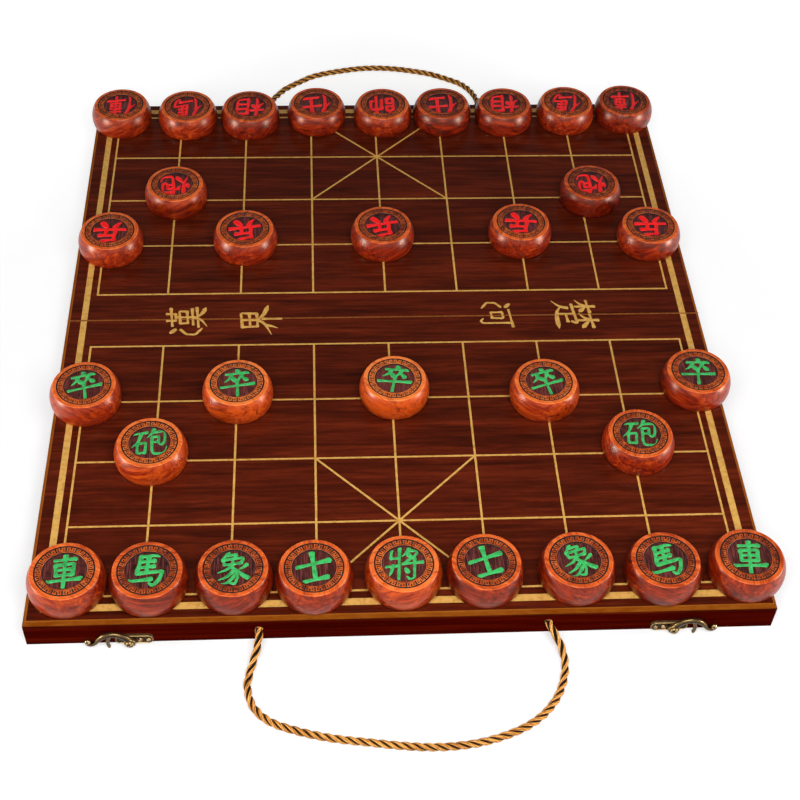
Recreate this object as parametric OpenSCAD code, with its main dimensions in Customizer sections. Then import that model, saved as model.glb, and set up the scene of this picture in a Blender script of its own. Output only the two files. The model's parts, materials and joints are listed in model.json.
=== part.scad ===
// Folding xiangqi box laid open as a board, with its 32 pieces.
// Two shallow trays lie with their hollows down and are hinged along the river.
// X runs along the fold, Y from the front tray to the rear tray, Z up.
// The origin lies on the standing surface, under the middle of the fold.

/* [Board] */
// Spacing of the board's crossing lines
cell = 64; // [63:0.5:70]
// Distance from the outer line of the board to the left or right edge
side_margin = 21; // [14:0.5:30]
// Distance from the front or rear line of the board to its edge
end_margin = 23; // [18:0.5:32]
// Height of the open box
tray_h = 26; // [24:1:40]
// Width of the chamfer round the board's edge
edge_chamfer = 3; // [1:0.5:4]

/* [Tray walls] */
// Thickness of the board panel
panel_t = 5; // [4:0.5:7]
// Thickness of the frame's walls
wall_t = 10; // [9.5:0.5:14]
// Height of the step by which the two rims overlap when the box is shut
lap_h = 4; // [3:0.5:5]
// Clearance between parts that meet when the box shuts
shut_gap = 0.3; // [0.2:0.05:0.5]
// Thickness of the felt lining
lining_t = 1; // [0.5:0.25:2]

/* [Hinges] */
// Length of a hinge
hinge_l = 40; // [30:1:60]
// Distance from the board's left or right edge to a hinge's middle
hinge_inset = 117; // [60:1:180]
// Width of a hinge leaf, from the pin's middle
leaf_w = 9; // [7:0.5:10]
// Thickness of a hinge leaf
leaf_t = 1; // [0.8:0.1:1.2]
// Diameter of the hinge pin
hinge_pin_d = 2; // [1.6:0.1:2.4]
// Number of knuckles on a hinge
knuckles = 5; // [3:2:7]

/* [Latches] */
// Distance from the board's left or right edge to a latch's rivet
latch_inset = 76; // [50:1:120]
// Height of the rivet above the standing surface
latch_z = 6.2; // [5.8:0.1:7]
// Diameter of the rivet's shank
rivet_d = 3.6; // [3:0.1:4]
// Thickness of the latch plate
latch_plate_t = 2.5; // [1.5:0.25:3]
// Height of the latch plate
latch_plate_h = 9.4; // [8:0.2:11]
// Thickness of the swinging lever
lever_t = 3.2; // [2.5:0.1:4]
// Distance from the rivet to the catch post that the lever hooks
post_reach = 13; // [12.5:0.25:14]
// Diameter of the catch post
post_d = 3; // [2.5:0.1:3.4]
// Thickness of the catch plate
catch_plate_t = 1.5; // [1:0.25:2.5]
// Length of the catch plate
catch_plate_l = 20; // [18:1:26]

/* [Screws] */
// Diameter of a latch or catch screw's shank
screw_d = 2.2; // [1.8:0.1:2.6]
// Diameter of its round head
screw_head_d = 3.6; // [3.2:0.1:4]
// Depth of a screw in the wood
screw_depth = 6.5; // [4:0.5:7.5]

/* [Ropes] */
// Diameter of the rope
rope_d = 6; // [5:0.5:7]
// Distance between the two holes of a rope
rope_span = 214; // [190:2:230]
// Diameter of a rope's hole in the wall
rope_hole_d = 7; // [6.5:0.5:8]
// Diameter of the knot inside the wall
knot_d = 13; // [11:0.5:13.5]

/* [Pieces] */
// Largest diameter of a piece
piece_d = 58; // [50:0.5:58]
// Height of a piece
piece_h = 22; // [18:0.5:26]
// Diameter of its flat top
piece_top_d = 50; // [46:0.5:54]
// Diameter of its flat foot
piece_foot_d = 51.5; // [44:0.5:52]
// Diameter of the groove round the carving
ring_groove_d = 44; // [38:0.5:46]
// Diameter of the sunk disc in the middle
disc_d = 33; // [28:0.5:36]
// Depth of the sunk disc
disc_depth = 1; // [0.5:0.1:1.5]

/* [Hidden] */
$fn = 48;

// Board
half_w = 4 * cell + side_margin;
half_d = 4.5 * cell + end_margin;
fold_gap = 0.2;
panel_z = tray_h - panel_t;
wall_half = wall_t / 2;
hinge_z = lap_h / 2;
lap_top = lap_h + shut_gap;
rim_gap = 0.1;
hinge_rim_z = hinge_z + rim_gap;
lining_gap = 0.5;

// Hinges
hinge_x = half_w - hinge_inset;
knuckle_r = hinge_z - 0.1;
hinge_pin_r = hinge_pin_d / 2;
pin_run = 0.06;
knuckle_l = hinge_l / knuckles;
knuckle_gap = 0.1;
leaf_start = knuckle_r + shut_gap;
mortise_gap = 0.1;
hinge_screw_d = 1.8;
hinge_screw_head_d = 3.4;
hinge_screw_l = 7;
hinge_screw_y = (leaf_start + leaf_w) / 2;
hinge_screw_x = hinge_l * 0.36;
hinge_screw_xs = [-hinge_screw_x, 0, hinge_screw_x];
countersink = leaf_t * 0.9;

// Latches
latch_x = half_w - latch_inset;
rivet_r = rivet_d / 2;
lever_run = 0.08;
lever_back = latch_plate_t + 0.3;
rivet_play = 0.2;
lever_front = lever_back + lever_t;
rivet_head_r = 3.1;
rivet_head_h = 1.7;
eye_r = 4.4;
plate_in = 17;
plate_out = 11;
latch_screw_us = [-13.4, -7.3];
post_r = post_d / 2;
post_angle = -41;
seat_angle = 20;
claw_in_r = post_reach + post_r + shut_gap;
claw_w = 2.6;
claw_from = seat_angle + 14;
claw_to = -19;
claw_tip_cut = 0.5;
screw_r = screw_d / 2;
screw_head_r = screw_head_d / 2;
screw_head_h = 1.1;
pilot_gap = 0.05;
pilot_extra = 0.4;
catch_u = post_reach * cos(post_angle);
catch_z = lap_h - latch_z - post_reach * sin(post_angle);
catch_plate_lo = lap_top + 0.2;
catch_plate_h = 8;
catch_screw_u = catch_plate_l / 2 - 3.4;
catch_screw_us = [-catch_screw_u, catch_screw_u];
post_head_r = 2.2;
post_head_h = 1.1;
post_len = lever_front + shut_gap - catch_plate_t;

// Ropes
rope_r = rope_d / 2;
rope_hole_r = rope_hole_d / 2;
knot_r = knot_d / 2;
rope_z = tray_h / 2 - 0.5;
knot_bite = 0.05;
knot_sink = knot_r - sqrt(knot_r * knot_r - rope_hole_r * rope_hole_r) - knot_bite;
knot_tail = 5;
knot_tail_in = 3;

// Route of each rope's middle, from its left hole round to its right one: distance
// along the wall, distance out from it, and the share of the way up from lying on
// the table to the height of the hole. The routes are drawn for holes drawn_span apart.
drawn_span = 214;
FRONT_ROUTE = [
    [-107, 0, 1], [-107, 8, 0.98], [-108.3, 15, 0.78], [-110.5, 22, 0.44],
    [-113, 30, 0.13], [-115, 40, 0], [-114, 49, 0], [-111, 58, 0],
    [-105, 66, 0], [-96, 72.5, 0], [-84, 77.5, 0], [-68, 82.5, 0],
    [-50, 86.5, 0], [-30, 89.5, 0], [-10, 92.5, 0], [10, 94.5, 0],
    [30, 94.5, 0], [50, 92, 0], [68, 87, 0], [84, 80, 0],
    [97, 70.5, 0], [107, 58.5, 0], [113, 46, 0], [116, 34, 0.04],
    [116, 25, 0.23], [113.5, 16, 0.63], [109.5, 8, 0.95], [107, 0, 1],
];
REAR_ROUTE = [
    [-107, 0, 1], [-107, 8, 0.98], [-106.5, 17, 0.84], [-105, 27, 0.56],
    [-101.5, 38, 0.26], [-97, 47, 0.12], [-91, 56, 0.05], [-84, 63, 0],
    [-75, 70, 0], [-62, 77.5, 0.13], [-47, 82, 0.24], [-29, 85.5, 0.34],
    [-11, 88.5, 0.38], [7, 89.5, 0.38], [25, 88.5, 0.34], [44, 86, 0.24],
    [62, 82, 0.15], [75, 77, 0.06], [85, 71.5, 0.05], [94, 65, 0.09],
    [101, 56, 0.17], [105.5, 46.5, 0.27], [108.5, 35, 0.44], [109.5, 25, 0.66],
    [108.5, 16, 0.86], [107, 8, 0.98], [107, 0, 1],
];
rope_sides = 10;

// Pieces
piece_r = piece_d / 2;
belly_z = 9.5;
ring_groove_w = 1;
ring_groove_depth = 0.7;

// Each piece: its name, and where its middle stands, in cells from the middle of the fold
GREEN = [
    ["green_chariot_1", [-3.85, -4.38]], ["green_horse_1", [-2.92, -4.39]],
    ["green_elephant_1", [-1.95, -4.39]], ["green_advisor_1", [-1.03, -4.41]],
    ["green_general", [0.00, -4.38]], ["green_advisor_2", [0.95, -4.38]],
    ["green_elephant_2", [2.02, -4.38]], ["green_horse_2", [3.03, -4.41]],
    ["green_chariot_2", [4.02, -4.39]], ["green_cannon_1", [-3.02, -2.48]],
    ["green_cannon_2", [3.05, -2.47]], ["green_soldier_1", [-3.91, -1.50]],
    ["green_soldier_2", [-1.98, -1.50]], ["green_soldier_3", [0.03, -1.47]],
    ["green_soldier_4", [1.97, -1.56]], ["green_soldier_5", [3.98, -1.42]],
];
RED = [
    ["red_chariot_1", [-3.92, 4.39]], ["red_horse_1", [-2.90, 4.34]],
    ["red_elephant_1", [-1.94, 4.33]], ["red_advisor_1", [-0.91, 4.41]],
    ["red_general", [0.12, 4.38]], ["red_advisor_2", [1.05, 4.39]],
    ["red_elephant_2", [2.02, 4.38]], ["red_horse_2", [3.00, 4.41]],
    ["red_chariot_2", [3.93, 4.44]], ["red_cannon_1", [-2.98, 2.47]],
    ["red_cannon_2", [3.12, 2.43]], ["red_soldier_1", [-3.84, 1.45]],
    ["red_soldier_2", [-1.95, 1.47]], ["red_soldier_3", [0.00, 1.52]],
    ["red_soldier_4", [1.98, 1.56]], ["red_soldier_5", [3.84, 1.47]],
];
PIECES = concat(GREEN, RED);

wood = "#5a1c14";
board = "#3f130d";
felt = "#7a1a1c";
bronze = "#8a6c3c";
cord_gold = "#b5792e";
rosewood = "#b04a22";

// Draws its children on the left and mirrored on the right
module both_sides() {
    children();
    mirror([1, 0, 0]) children();
}

// Turns the rear half's shapes into the front half's
module to_front() {
    mirror([0, 1, 0]) children();
}

// One half of the board, chamfered on its three outer edges
module panel() {
    difference() {
        translate([-half_w, fold_gap / 2, panel_z])
            cube([2 * half_w, half_d - fold_gap / 2, panel_t]);
        both_sides()
            translate([half_w - edge_chamfer, -1, tray_h])
                rotate([0, 45, 0]) cube([half_w, half_d + 2, half_w]);
        translate([-half_w - 1, half_d - edge_chamfer, tray_h])
            rotate([-45, 0, 0]) cube([2 * half_w + 2, half_w, half_w]);
    }
}

// Plan of the long outer wall, mitred at both ends
module long_wall_plan() {
    polygon([
        [-half_w, half_d], [half_w, half_d],
        [half_w - wall_t, half_d - wall_t], [-half_w + wall_t, half_d - wall_t],
    ]);
}

// Plan of the right end wall, mitred at its outer end
module end_wall_plan() {
    polygon([
        [half_w, fold_gap / 2], [half_w, half_d],
        [half_w - wall_t, half_d - wall_t], [half_w - wall_t, fold_gap / 2],
    ]);
}

// Band along the outer edge of the frame, as wide as w
module outer_band_plan(w) {
    difference() {
        translate([-half_w - 1, -1]) square([2 * half_w + 2, half_d + 2]);
        translate([-half_w + w, -2]) square([2 * (half_w - w), half_d - w + 2]);
    }
}

// Rebate that the other tray's lip fills when the box is shut.
// The rear tray loses its outer half, the front tray its inner half.
module rim_rebate(outer) {
    translate([0, 0, -1]) linear_extrude(lap_top + 1)
        if (outer)
            outer_band_plan(wall_half + shut_gap);
        else
            difference() {
                outer_band_plan(wall_t + 1);
                outer_band_plan(wall_half);
            }
}

module rope_holes() {
    both_sides()
        translate([rope_span / 2, half_d - wall_t - 1, rope_z])
            rotate([-90, 0, 0]) cylinder(r = rope_hole_r, h = wall_t + 2);
}

// Pilot holes of face screws at the given distances from x0, at height z
module pilots(x0, us, z) {
    both_sides()
        for (u = us)
            translate([x0 + u, half_d + 1, z])
                rotate([90, 0, 0]) cylinder(r = screw_r + pilot_gap, h = screw_depth + pilot_extra + 1);
}

module long_wall(outer_rebate) {
    difference() {
        linear_extrude(panel_z) long_wall_plan();
        rim_rebate(outer_rebate);
        rope_holes();
        if (outer_rebate)
            pilots(latch_x + catch_u, catch_screw_us, catch_plate_lo + catch_plate_h / 2);
        else
            pilots(latch_x, latch_screw_us, latch_z);
    }
}

module end_wall(outer_rebate) {
    difference() {
        linear_extrude(panel_z) end_wall_plan();
        rim_rebate(outer_rebate);
    }
}

// Wall along the fold, let in for the two hinges
module hinge_wall() {
    inner_w = half_w - wall_t;
    difference() {
        translate([-inner_w, fold_gap / 2, hinge_rim_z])
            cube([2 * inner_w, wall_t, panel_z - hinge_rim_z]);
        both_sides() translate([hinge_x, 0, 0]) {
            translate([-hinge_l / 2 - mortise_gap, -1, 0])
                cube([hinge_l + 2 * mortise_gap, leaf_start + 1, hinge_z + leaf_start]);
            translate([-hinge_l / 2 - mortise_gap, -1, 0])
                cube([hinge_l + 2 * mortise_gap, leaf_w + 1 + mortise_gap, hinge_rim_z + leaf_t]);
            for (x = hinge_screw_xs)
                translate([x, hinge_screw_y, 0])
                    cylinder(r = hinge_screw_d / 2 + pilot_gap,
                             h = hinge_rim_z + hinge_screw_l + pilot_extra);
        }
    }
}

module lining() {
    inset = wall_t + lining_gap;
    translate([-half_w + inset, fold_gap / 2 + inset, panel_z - lining_t])
        cube([2 * (half_w - inset), half_d - fold_gap / 2 - 2 * inset, lining_t]);
}

// One hinge leaf; its knuckles are those of the given parity
module hinge_leaf(parity) {
    difference() {
        union() {
            translate([-hinge_l / 2, leaf_start, hinge_rim_z])
                cube([hinge_l, leaf_w - leaf_start, leaf_t]);
            for (k = [parity : 2 : knuckles - 1])
                translate([-hinge_l / 2 + k * knuckle_l + knuckle_gap, 0, 0]) {
                    translate([0, 0, hinge_z])
                        rotate([0, 90, 0]) cylinder(r = knuckle_r, h = knuckle_l - 2 * knuckle_gap);
                    translate([0, 0, hinge_rim_z])
                        cube([knuckle_l - 2 * knuckle_gap, leaf_start + 0.01, leaf_t]);
                }
        }
        translate([-hinge_l, 0, hinge_z])
            rotate([0, 90, 0]) cylinder(r = hinge_pin_r + pin_run, h = 2 * hinge_l);
        for (x = hinge_screw_xs)
            translate([x, hinge_screw_y, 0]) hinge_screw_shape(pilot_gap);
    }
}

// Countersunk screw standing head down in the rim, grown by g for its hole
module hinge_screw_shape(g) {
    shank_r = hinge_screw_d / 2 + g;
    head_r = hinge_screw_head_d / 2 + g;
    translate([0, 0, hinge_rim_z]) {
        cylinder(r1 = head_r, r2 = shank_r, h = countersink);
        cylinder(r = shank_r, h = hinge_screw_l);
    }
}

module hinge_leaves(parity) {
    color(bronze) both_sides() translate([hinge_x, 0, 0]) hinge_leaf(parity);
}

module hinge_screws() {
    color(bronze) both_sides()
        for (x = hinge_screw_xs)
            translate([hinge_x + x, hinge_screw_y, 0]) hinge_screw_shape(0);
}

module hinge_pins() {
    color(bronze) both_sides()
        translate([hinge_x - hinge_l / 2, 0, hinge_z])
            rotate([0, 90, 0]) cylinder(r = hinge_pin_r, h = hinge_l);
}

// Places a shape drawn in a wall fitting's own frame on the front wall:
// u out along the wall from x0, v up from z0, and depth out of the wall
module on_wall(x0, z0) {
    translate([x0, half_d, z0]) rotate([90, 0, 180]) mirror([1, 0, 0]) children();
}

// Plate with round ends from u0 to u1, h high and t thick
module round_plate(u0, u1, h, t) {
    translate([u0 + h / 2, -h / 2, 0]) cube([u1 - u0 - h, h, t]);
    for (u = [u0 + h / 2, u1 - h / 2])
        translate([u, 0, 0]) cylinder(r = h / 2, h = t);
}

module latch_plate() {
    difference() {
        round_plate(-plate_in, plate_out, latch_plate_h, latch_plate_t);
        for (u = latch_screw_us)
            translate([u, 0, -1]) cylinder(r = screw_r + pilot_gap, h = latch_plate_t + 2);
        translate([0, 0, -1]) cylinder(r = rivet_r + pilot_gap, h = latch_plate_t + 2);
    }
}

// Round-headed screw whose head seats on a plate t thick
module face_screw(t) {
    translate([0, 0, -screw_depth]) cylinder(r = screw_r, h = screw_depth + t);
    translate([0, 0, t]) dome(screw_head_r, screw_head_h);
}

// Flat-footed dome of radius r and height h
module dome(r, h) {
    ball_r = (r * r + h * h) / (2 * h);
    intersection() {
        translate([0, 0, h - ball_r]) sphere(r = ball_r);
        cylinder(r = r + 1, h = h + 1);
    }
}

module latch_rivet() {
    cylinder(r = rivet_r, h = lever_front + rivet_play);
    translate([0, 0, lever_front + rivet_play]) dome(rivet_head_r, rivet_head_h);
}

// Middle line of the lever from the rivet over its arch to its curled end
LEVER_LINE = [
    [0, 0], [2.6, 5.2], [6.8, 8.8], [12.2, 10], [17.6, 8.6],
    [22, 4.6], [25.2, 0.3], [28.6, -1.5], [31.1, 0.4], [30.4, 2.9],
];
LEVER_WIDTHS = [6, 5.4, 5.2, 5.2, 4.6, 3.8, 3.2, 2.8, 2.6, 2.4];
lever_end_r = 2;
lever_steps = 4;

// Point at s between b and c of the smooth curve through a, b, c and d
function smooth(a, b, c, d, s) =
    0.5 * (2 * b + (c - a) * s + (2 * a - 5 * b + 4 * c - d) * s * s
        + (3 * b - a - 3 * c + d) * s * s * s);

// Smooth curve through a list of points or widths, in n steps from each to the next
function smooth_line(p, n) = [
    for (i = [0 : len(p) - 2], k = [0 : n - 1])
        smooth(p[max(i - 1, 0)], p[i], p[i + 1], p[min(i + 2, len(p) - 1)], k / n),
    p[len(p) - 1],
];

// Direction of the curve at its point i
function heading(p, i) =
    let (d = p[min(i + 1, len(p) - 1)] - p[max(i - 1, 0)]) d / norm(d);

// Strip along a curve, as wide at each point as the list of widths says
module ribbon(line, widths) {
    p = smooth_line(line, lever_steps);
    w = smooth_line(widths, lever_steps);
    last = len(p) - 1;
    function side(i, s) = p[i] + s * w[i] / 2 * [-heading(p, i)[1], heading(p, i)[0]];
    polygon(concat([for (i = [0 : last]) side(i, 1)], [for (i = [last : -1 : 0]) side(i, -1)]));
}

// Hook under the arch, round the rivet, that takes the catch post
module claw() {
    steps = 10;
    turn = (claw_to - claw_from) / steps;
    function tip(k) = k < steps ? 0 : claw_tip_cut;
    polygon(concat(
        [for (k = [0 : steps]) let (a = claw_from + k * turn, r = claw_in_r + tip(k)) r * [cos(a), sin(a)]],
        [for (k = [steps : -1 : 0])
            let (a = claw_from + k * turn, r = claw_in_r + claw_w - tip(k)) r * [cos(a), sin(a)]]
    ));
}

module latch_lever() {
    color(bronze) translate([0, 0, lever_back]) {
        difference() {
            union() {
                linear_extrude(lever_t) {
                    ribbon(LEVER_LINE, LEVER_WIDTHS);
                    claw();
                }
                cylinder(r = eye_r, h = lever_t);
                translate(LEVER_LINE[len(LEVER_LINE) - 1]) cylinder(r = lever_end_r, h = lever_t);
            }
            translate([0, 0, -1]) cylinder(r = rivet_r + lever_run, h = lever_t + 2);
        }
    }
}

module latch_lever_right() {
    to_front() on_wall(latch_x, latch_z) latch_lever();
}

module latch_lever_left() {
    mirror([1, 0, 0]) latch_lever_right();
}

module latch_plates() {
    color(bronze) both_sides() to_front() on_wall(latch_x, latch_z) latch_plate();
}

module latch_screws() {
    color(bronze) both_sides() to_front() on_wall(latch_x, latch_z)
        for (u = latch_screw_us) translate([u, 0, 0]) face_screw(latch_plate_t);
}

module latch_rivets() {
    color(bronze) both_sides() to_front() on_wall(latch_x, latch_z) latch_rivet();
}

// Catch plate and the headed post that the lever's hook closes round
module catches() {
    mid = catch_plate_lo + catch_plate_h / 2;
    color(bronze) both_sides() on_wall(latch_x + catch_u, 0) {
        difference() {
            translate([0, mid, 0])
                round_plate(-catch_plate_l / 2, catch_plate_l / 2, catch_plate_h, catch_plate_t);
            for (u = catch_screw_us)
                translate([u, mid, -1]) cylinder(r = screw_r + pilot_gap, h = catch_plate_t + 2);
        }
        translate([0, catch_z, 0]) {
            cylinder(r = post_r, h = catch_plate_t + post_len);
            translate([0, 0, catch_plate_t + post_len]) dome(post_head_r, post_head_h);
        }
    }
}

module catch_screws() {
    color(bronze) both_sides() on_wall(latch_x + catch_u, catch_plate_lo + catch_plate_h / 2)
        for (u = catch_screw_us) translate([u, 0, 0]) face_screw(catch_plate_t);
}

// Knots inside the wall, each with the rope's short end and its run through the hole
module rope_knots() {
    inner = half_d - wall_t;
    color(cord_gold) both_sides() translate([rope_span / 2, inner, rope_z]) {
        rotate([-90, 0, 0]) cylinder(r = rope_r, h = wall_t);
        translate([0, knot_sink - knot_r, 0]) sphere(r = knot_r);
        translate([0, knot_sink - 2 * knot_r - knot_tail, 0])
            rotate([-90, 0, 0]) cylinder(r = rope_r, h = knot_tail + knot_tail_in);
    }
}

// Ring i of a tube round the route, upright where the rope runs level
function tube_ring(p, i) =
    let (
        last = len(p) - 1,
        t = i == 0 ? [0, 1, 0] : i == last ? [0, -1, 0] : heading(p, i),
        s = cross(t, [0, 0, 1]) / norm(cross(t, [0, 0, 1])),
        u = cross(s, t)
    ) [for (k = [0 : rope_sides - 1])
        let (a = (k + 0.5) * 360 / rope_sides) p[i] + rope_r * (cos(a) * s + sin(a) * u)];

// Tube swept along a route, out of the rear wall
module rope_tube(route) {
    p = [for (q = route) [
        q[0] * rope_span / drawn_span, half_d + q[1], rope_r + q[2] * (rope_z - rope_r)
    ]];
    n = len(p);
    s = rope_sides;
    points = [for (i = [0 : n - 1]) each tube_ring(p, i)];
    sides = [for (i = [0 : n - 2], k = [0 : s - 1]) let (j = (k + 1) % s)
        each [[i * s + k, (i + 1) * s + j, i * s + j], [i * s + k, (i + 1) * s + k, (i + 1) * s + j]]];
    ends = [[for (k = [0 : s - 1]) k], [for (k = [s - 1 : -1 : 0]) (n - 1) * s + k]];
    polyhedron(points = points, faces = concat(sides, ends), convexity = 6);
}

// Half profile of a piece: flat foot, round belly, flat top with a groove and a sunk disc
function belly(r0, z0, r1, z1, n) = [
    for (k = [0 : n]) let (a = 90 * k / n) [r0 + (r1 - r0) * sin(a), z1 + (z0 - z1) * cos(a)]
];
module piece_profile() {
    steps = 7;
    foot_r = piece_foot_d / 2;
    top_r = piece_top_d / 2;
    groove_r = ring_groove_d / 2;
    low = belly(foot_r, 0, piece_r, belly_z, steps);
    high = belly(top_r, piece_h, piece_r, belly_z, steps);
    polygon(concat(
        [[0, 0]],
        low,
        [for (k = [steps - 1 : -1 : 0]) high[k]],
        [[groove_r + ring_groove_w / 2, piece_h], [groove_r, piece_h - ring_groove_depth],
         [groove_r - ring_groove_w / 2, piece_h], [disc_d / 2, piece_h],
         [disc_d / 2, piece_h - disc_depth], [0, piece_h - disc_depth]]
    ));
}

module piece(place) {
    color(rosewood) translate([place[0] * cell, place[1] * cell, tray_h])
        rotate_extrude() piece_profile();
}

color(board) panel();  // rear_panel
color(wood) long_wall(true);  // rear_back_wall
color(wood) end_wall(true);  // rear_right_wall
color(wood) mirror([1, 0, 0]) end_wall(true);  // rear_left_wall
color(wood) hinge_wall();  // rear_hinge_wall
color(felt) lining();  // rear_lining
color(cord_gold) rope_tube(REAR_ROUTE);  // rear_rope
rope_knots();  // rear_rope_knots
catches();
catch_screws();
hinge_leaves(0);  // rear_hinge_leaves
hinge_pins();
hinge_screws();  // rear_hinge_screws
color(board) to_front() panel();  // front_panel
color(wood) to_front() long_wall(false);  // front_front_wall
color(wood) to_front() end_wall(false);  // front_right_wall
color(wood) to_front() mirror([1, 0, 0]) end_wall(false);  // front_left_wall
color(wood) to_front() hinge_wall();  // front_hinge_wall
color(felt) to_front() lining();  // front_lining
color(cord_gold) to_front() rope_tube(FRONT_ROUTE);  // front_rope
to_front() rope_knots();  // front_rope_knots
latch_plates();
latch_screws();
latch_rivets();
to_front() hinge_leaves(1);  // front_hinge_leaves
to_front() hinge_screws();  // front_hinge_screws
latch_lever_left();
latch_lever_right();
for (p = PIECES)
    piece(p[1]);
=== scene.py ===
import json
import random
from math import asin, copysign, cos, pi, radians, sin

import bmesh
import bpy
from mathutils import Matrix, Vector
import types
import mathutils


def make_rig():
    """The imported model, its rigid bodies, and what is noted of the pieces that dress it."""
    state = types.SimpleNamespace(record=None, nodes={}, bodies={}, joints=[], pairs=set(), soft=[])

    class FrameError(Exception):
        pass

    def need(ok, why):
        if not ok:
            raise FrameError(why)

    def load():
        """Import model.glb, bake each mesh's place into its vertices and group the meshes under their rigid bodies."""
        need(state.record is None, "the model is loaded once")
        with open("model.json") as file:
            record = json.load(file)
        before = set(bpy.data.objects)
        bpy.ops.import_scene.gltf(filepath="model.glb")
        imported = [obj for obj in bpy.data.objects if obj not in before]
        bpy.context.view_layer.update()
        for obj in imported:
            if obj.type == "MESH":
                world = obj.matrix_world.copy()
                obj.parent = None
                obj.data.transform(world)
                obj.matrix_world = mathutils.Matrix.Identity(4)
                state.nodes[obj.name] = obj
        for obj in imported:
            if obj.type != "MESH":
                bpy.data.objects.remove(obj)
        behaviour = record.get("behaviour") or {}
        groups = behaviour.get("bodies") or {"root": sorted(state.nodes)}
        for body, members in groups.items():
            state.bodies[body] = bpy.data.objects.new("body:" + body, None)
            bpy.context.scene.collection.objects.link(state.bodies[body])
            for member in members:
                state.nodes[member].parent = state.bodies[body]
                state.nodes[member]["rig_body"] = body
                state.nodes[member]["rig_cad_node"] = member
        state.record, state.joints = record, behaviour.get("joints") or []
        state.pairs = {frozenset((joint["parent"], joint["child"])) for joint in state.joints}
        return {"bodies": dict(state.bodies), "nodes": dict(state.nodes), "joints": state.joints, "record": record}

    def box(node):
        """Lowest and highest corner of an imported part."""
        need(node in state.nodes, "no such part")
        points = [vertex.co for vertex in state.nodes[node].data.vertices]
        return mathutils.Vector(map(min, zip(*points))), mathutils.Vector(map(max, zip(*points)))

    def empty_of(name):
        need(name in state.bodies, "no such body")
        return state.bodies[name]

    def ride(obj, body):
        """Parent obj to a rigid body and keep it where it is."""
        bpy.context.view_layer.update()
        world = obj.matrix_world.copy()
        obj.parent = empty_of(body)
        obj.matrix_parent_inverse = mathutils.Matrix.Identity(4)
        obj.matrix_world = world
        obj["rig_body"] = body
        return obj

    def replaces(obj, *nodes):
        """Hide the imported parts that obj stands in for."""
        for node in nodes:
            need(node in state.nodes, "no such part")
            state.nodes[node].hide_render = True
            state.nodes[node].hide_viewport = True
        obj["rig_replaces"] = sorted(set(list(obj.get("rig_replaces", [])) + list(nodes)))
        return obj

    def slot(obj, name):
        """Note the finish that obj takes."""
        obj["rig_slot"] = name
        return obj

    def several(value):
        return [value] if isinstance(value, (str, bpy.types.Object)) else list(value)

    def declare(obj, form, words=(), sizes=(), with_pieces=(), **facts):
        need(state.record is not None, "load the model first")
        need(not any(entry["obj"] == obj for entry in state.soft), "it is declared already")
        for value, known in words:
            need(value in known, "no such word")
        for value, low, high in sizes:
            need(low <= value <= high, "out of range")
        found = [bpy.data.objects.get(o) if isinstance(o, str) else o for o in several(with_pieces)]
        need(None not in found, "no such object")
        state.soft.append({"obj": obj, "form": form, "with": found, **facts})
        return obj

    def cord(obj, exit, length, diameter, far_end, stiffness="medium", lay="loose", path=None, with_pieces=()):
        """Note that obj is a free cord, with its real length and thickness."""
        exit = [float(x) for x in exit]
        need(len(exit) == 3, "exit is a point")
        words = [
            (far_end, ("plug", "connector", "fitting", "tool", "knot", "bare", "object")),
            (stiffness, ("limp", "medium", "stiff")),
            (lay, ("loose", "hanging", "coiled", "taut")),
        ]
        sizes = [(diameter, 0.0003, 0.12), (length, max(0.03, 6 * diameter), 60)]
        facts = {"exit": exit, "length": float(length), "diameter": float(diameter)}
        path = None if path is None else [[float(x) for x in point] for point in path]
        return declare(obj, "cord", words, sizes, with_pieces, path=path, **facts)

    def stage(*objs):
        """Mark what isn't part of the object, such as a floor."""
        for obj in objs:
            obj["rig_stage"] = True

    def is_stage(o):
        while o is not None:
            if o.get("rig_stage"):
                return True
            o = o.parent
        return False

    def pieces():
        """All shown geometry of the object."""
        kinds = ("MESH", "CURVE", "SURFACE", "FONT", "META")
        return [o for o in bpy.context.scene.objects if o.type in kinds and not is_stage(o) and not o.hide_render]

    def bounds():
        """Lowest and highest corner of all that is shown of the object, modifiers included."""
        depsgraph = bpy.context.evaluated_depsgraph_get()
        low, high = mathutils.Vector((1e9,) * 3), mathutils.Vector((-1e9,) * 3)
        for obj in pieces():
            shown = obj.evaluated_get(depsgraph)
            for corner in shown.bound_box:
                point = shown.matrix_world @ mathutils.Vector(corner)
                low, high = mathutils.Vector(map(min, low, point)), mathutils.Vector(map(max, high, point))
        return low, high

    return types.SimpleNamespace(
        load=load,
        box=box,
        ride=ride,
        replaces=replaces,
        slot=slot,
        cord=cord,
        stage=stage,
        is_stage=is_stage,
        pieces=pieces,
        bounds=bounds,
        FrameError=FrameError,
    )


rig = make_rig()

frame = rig.load()
NODES = frame["nodes"]
start_lo, start_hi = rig.bounds()
MM = 0.001
# Half the width and depth of the open board, in millimetres
HALF_W, HALF_D = 277.0, 311.0
dice = random.Random(11)


def new_object(name, data):
    made = bpy.data.objects.new(name, data)
    bpy.context.scene.collection.objects.link(made)
    return made


# Camera, solved from the board's grid in the picture

CAM_PLACE = Vector((-0.06035, -0.90010, 0.90779))
CAM_ELEVATION = radians(47.63)
CAM_AZIMUTH = radians(4.78)
CAM_ROLL = radians(2.62)
CAM_SENSOR, CAM_LENS = 36.0, 64.75


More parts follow.
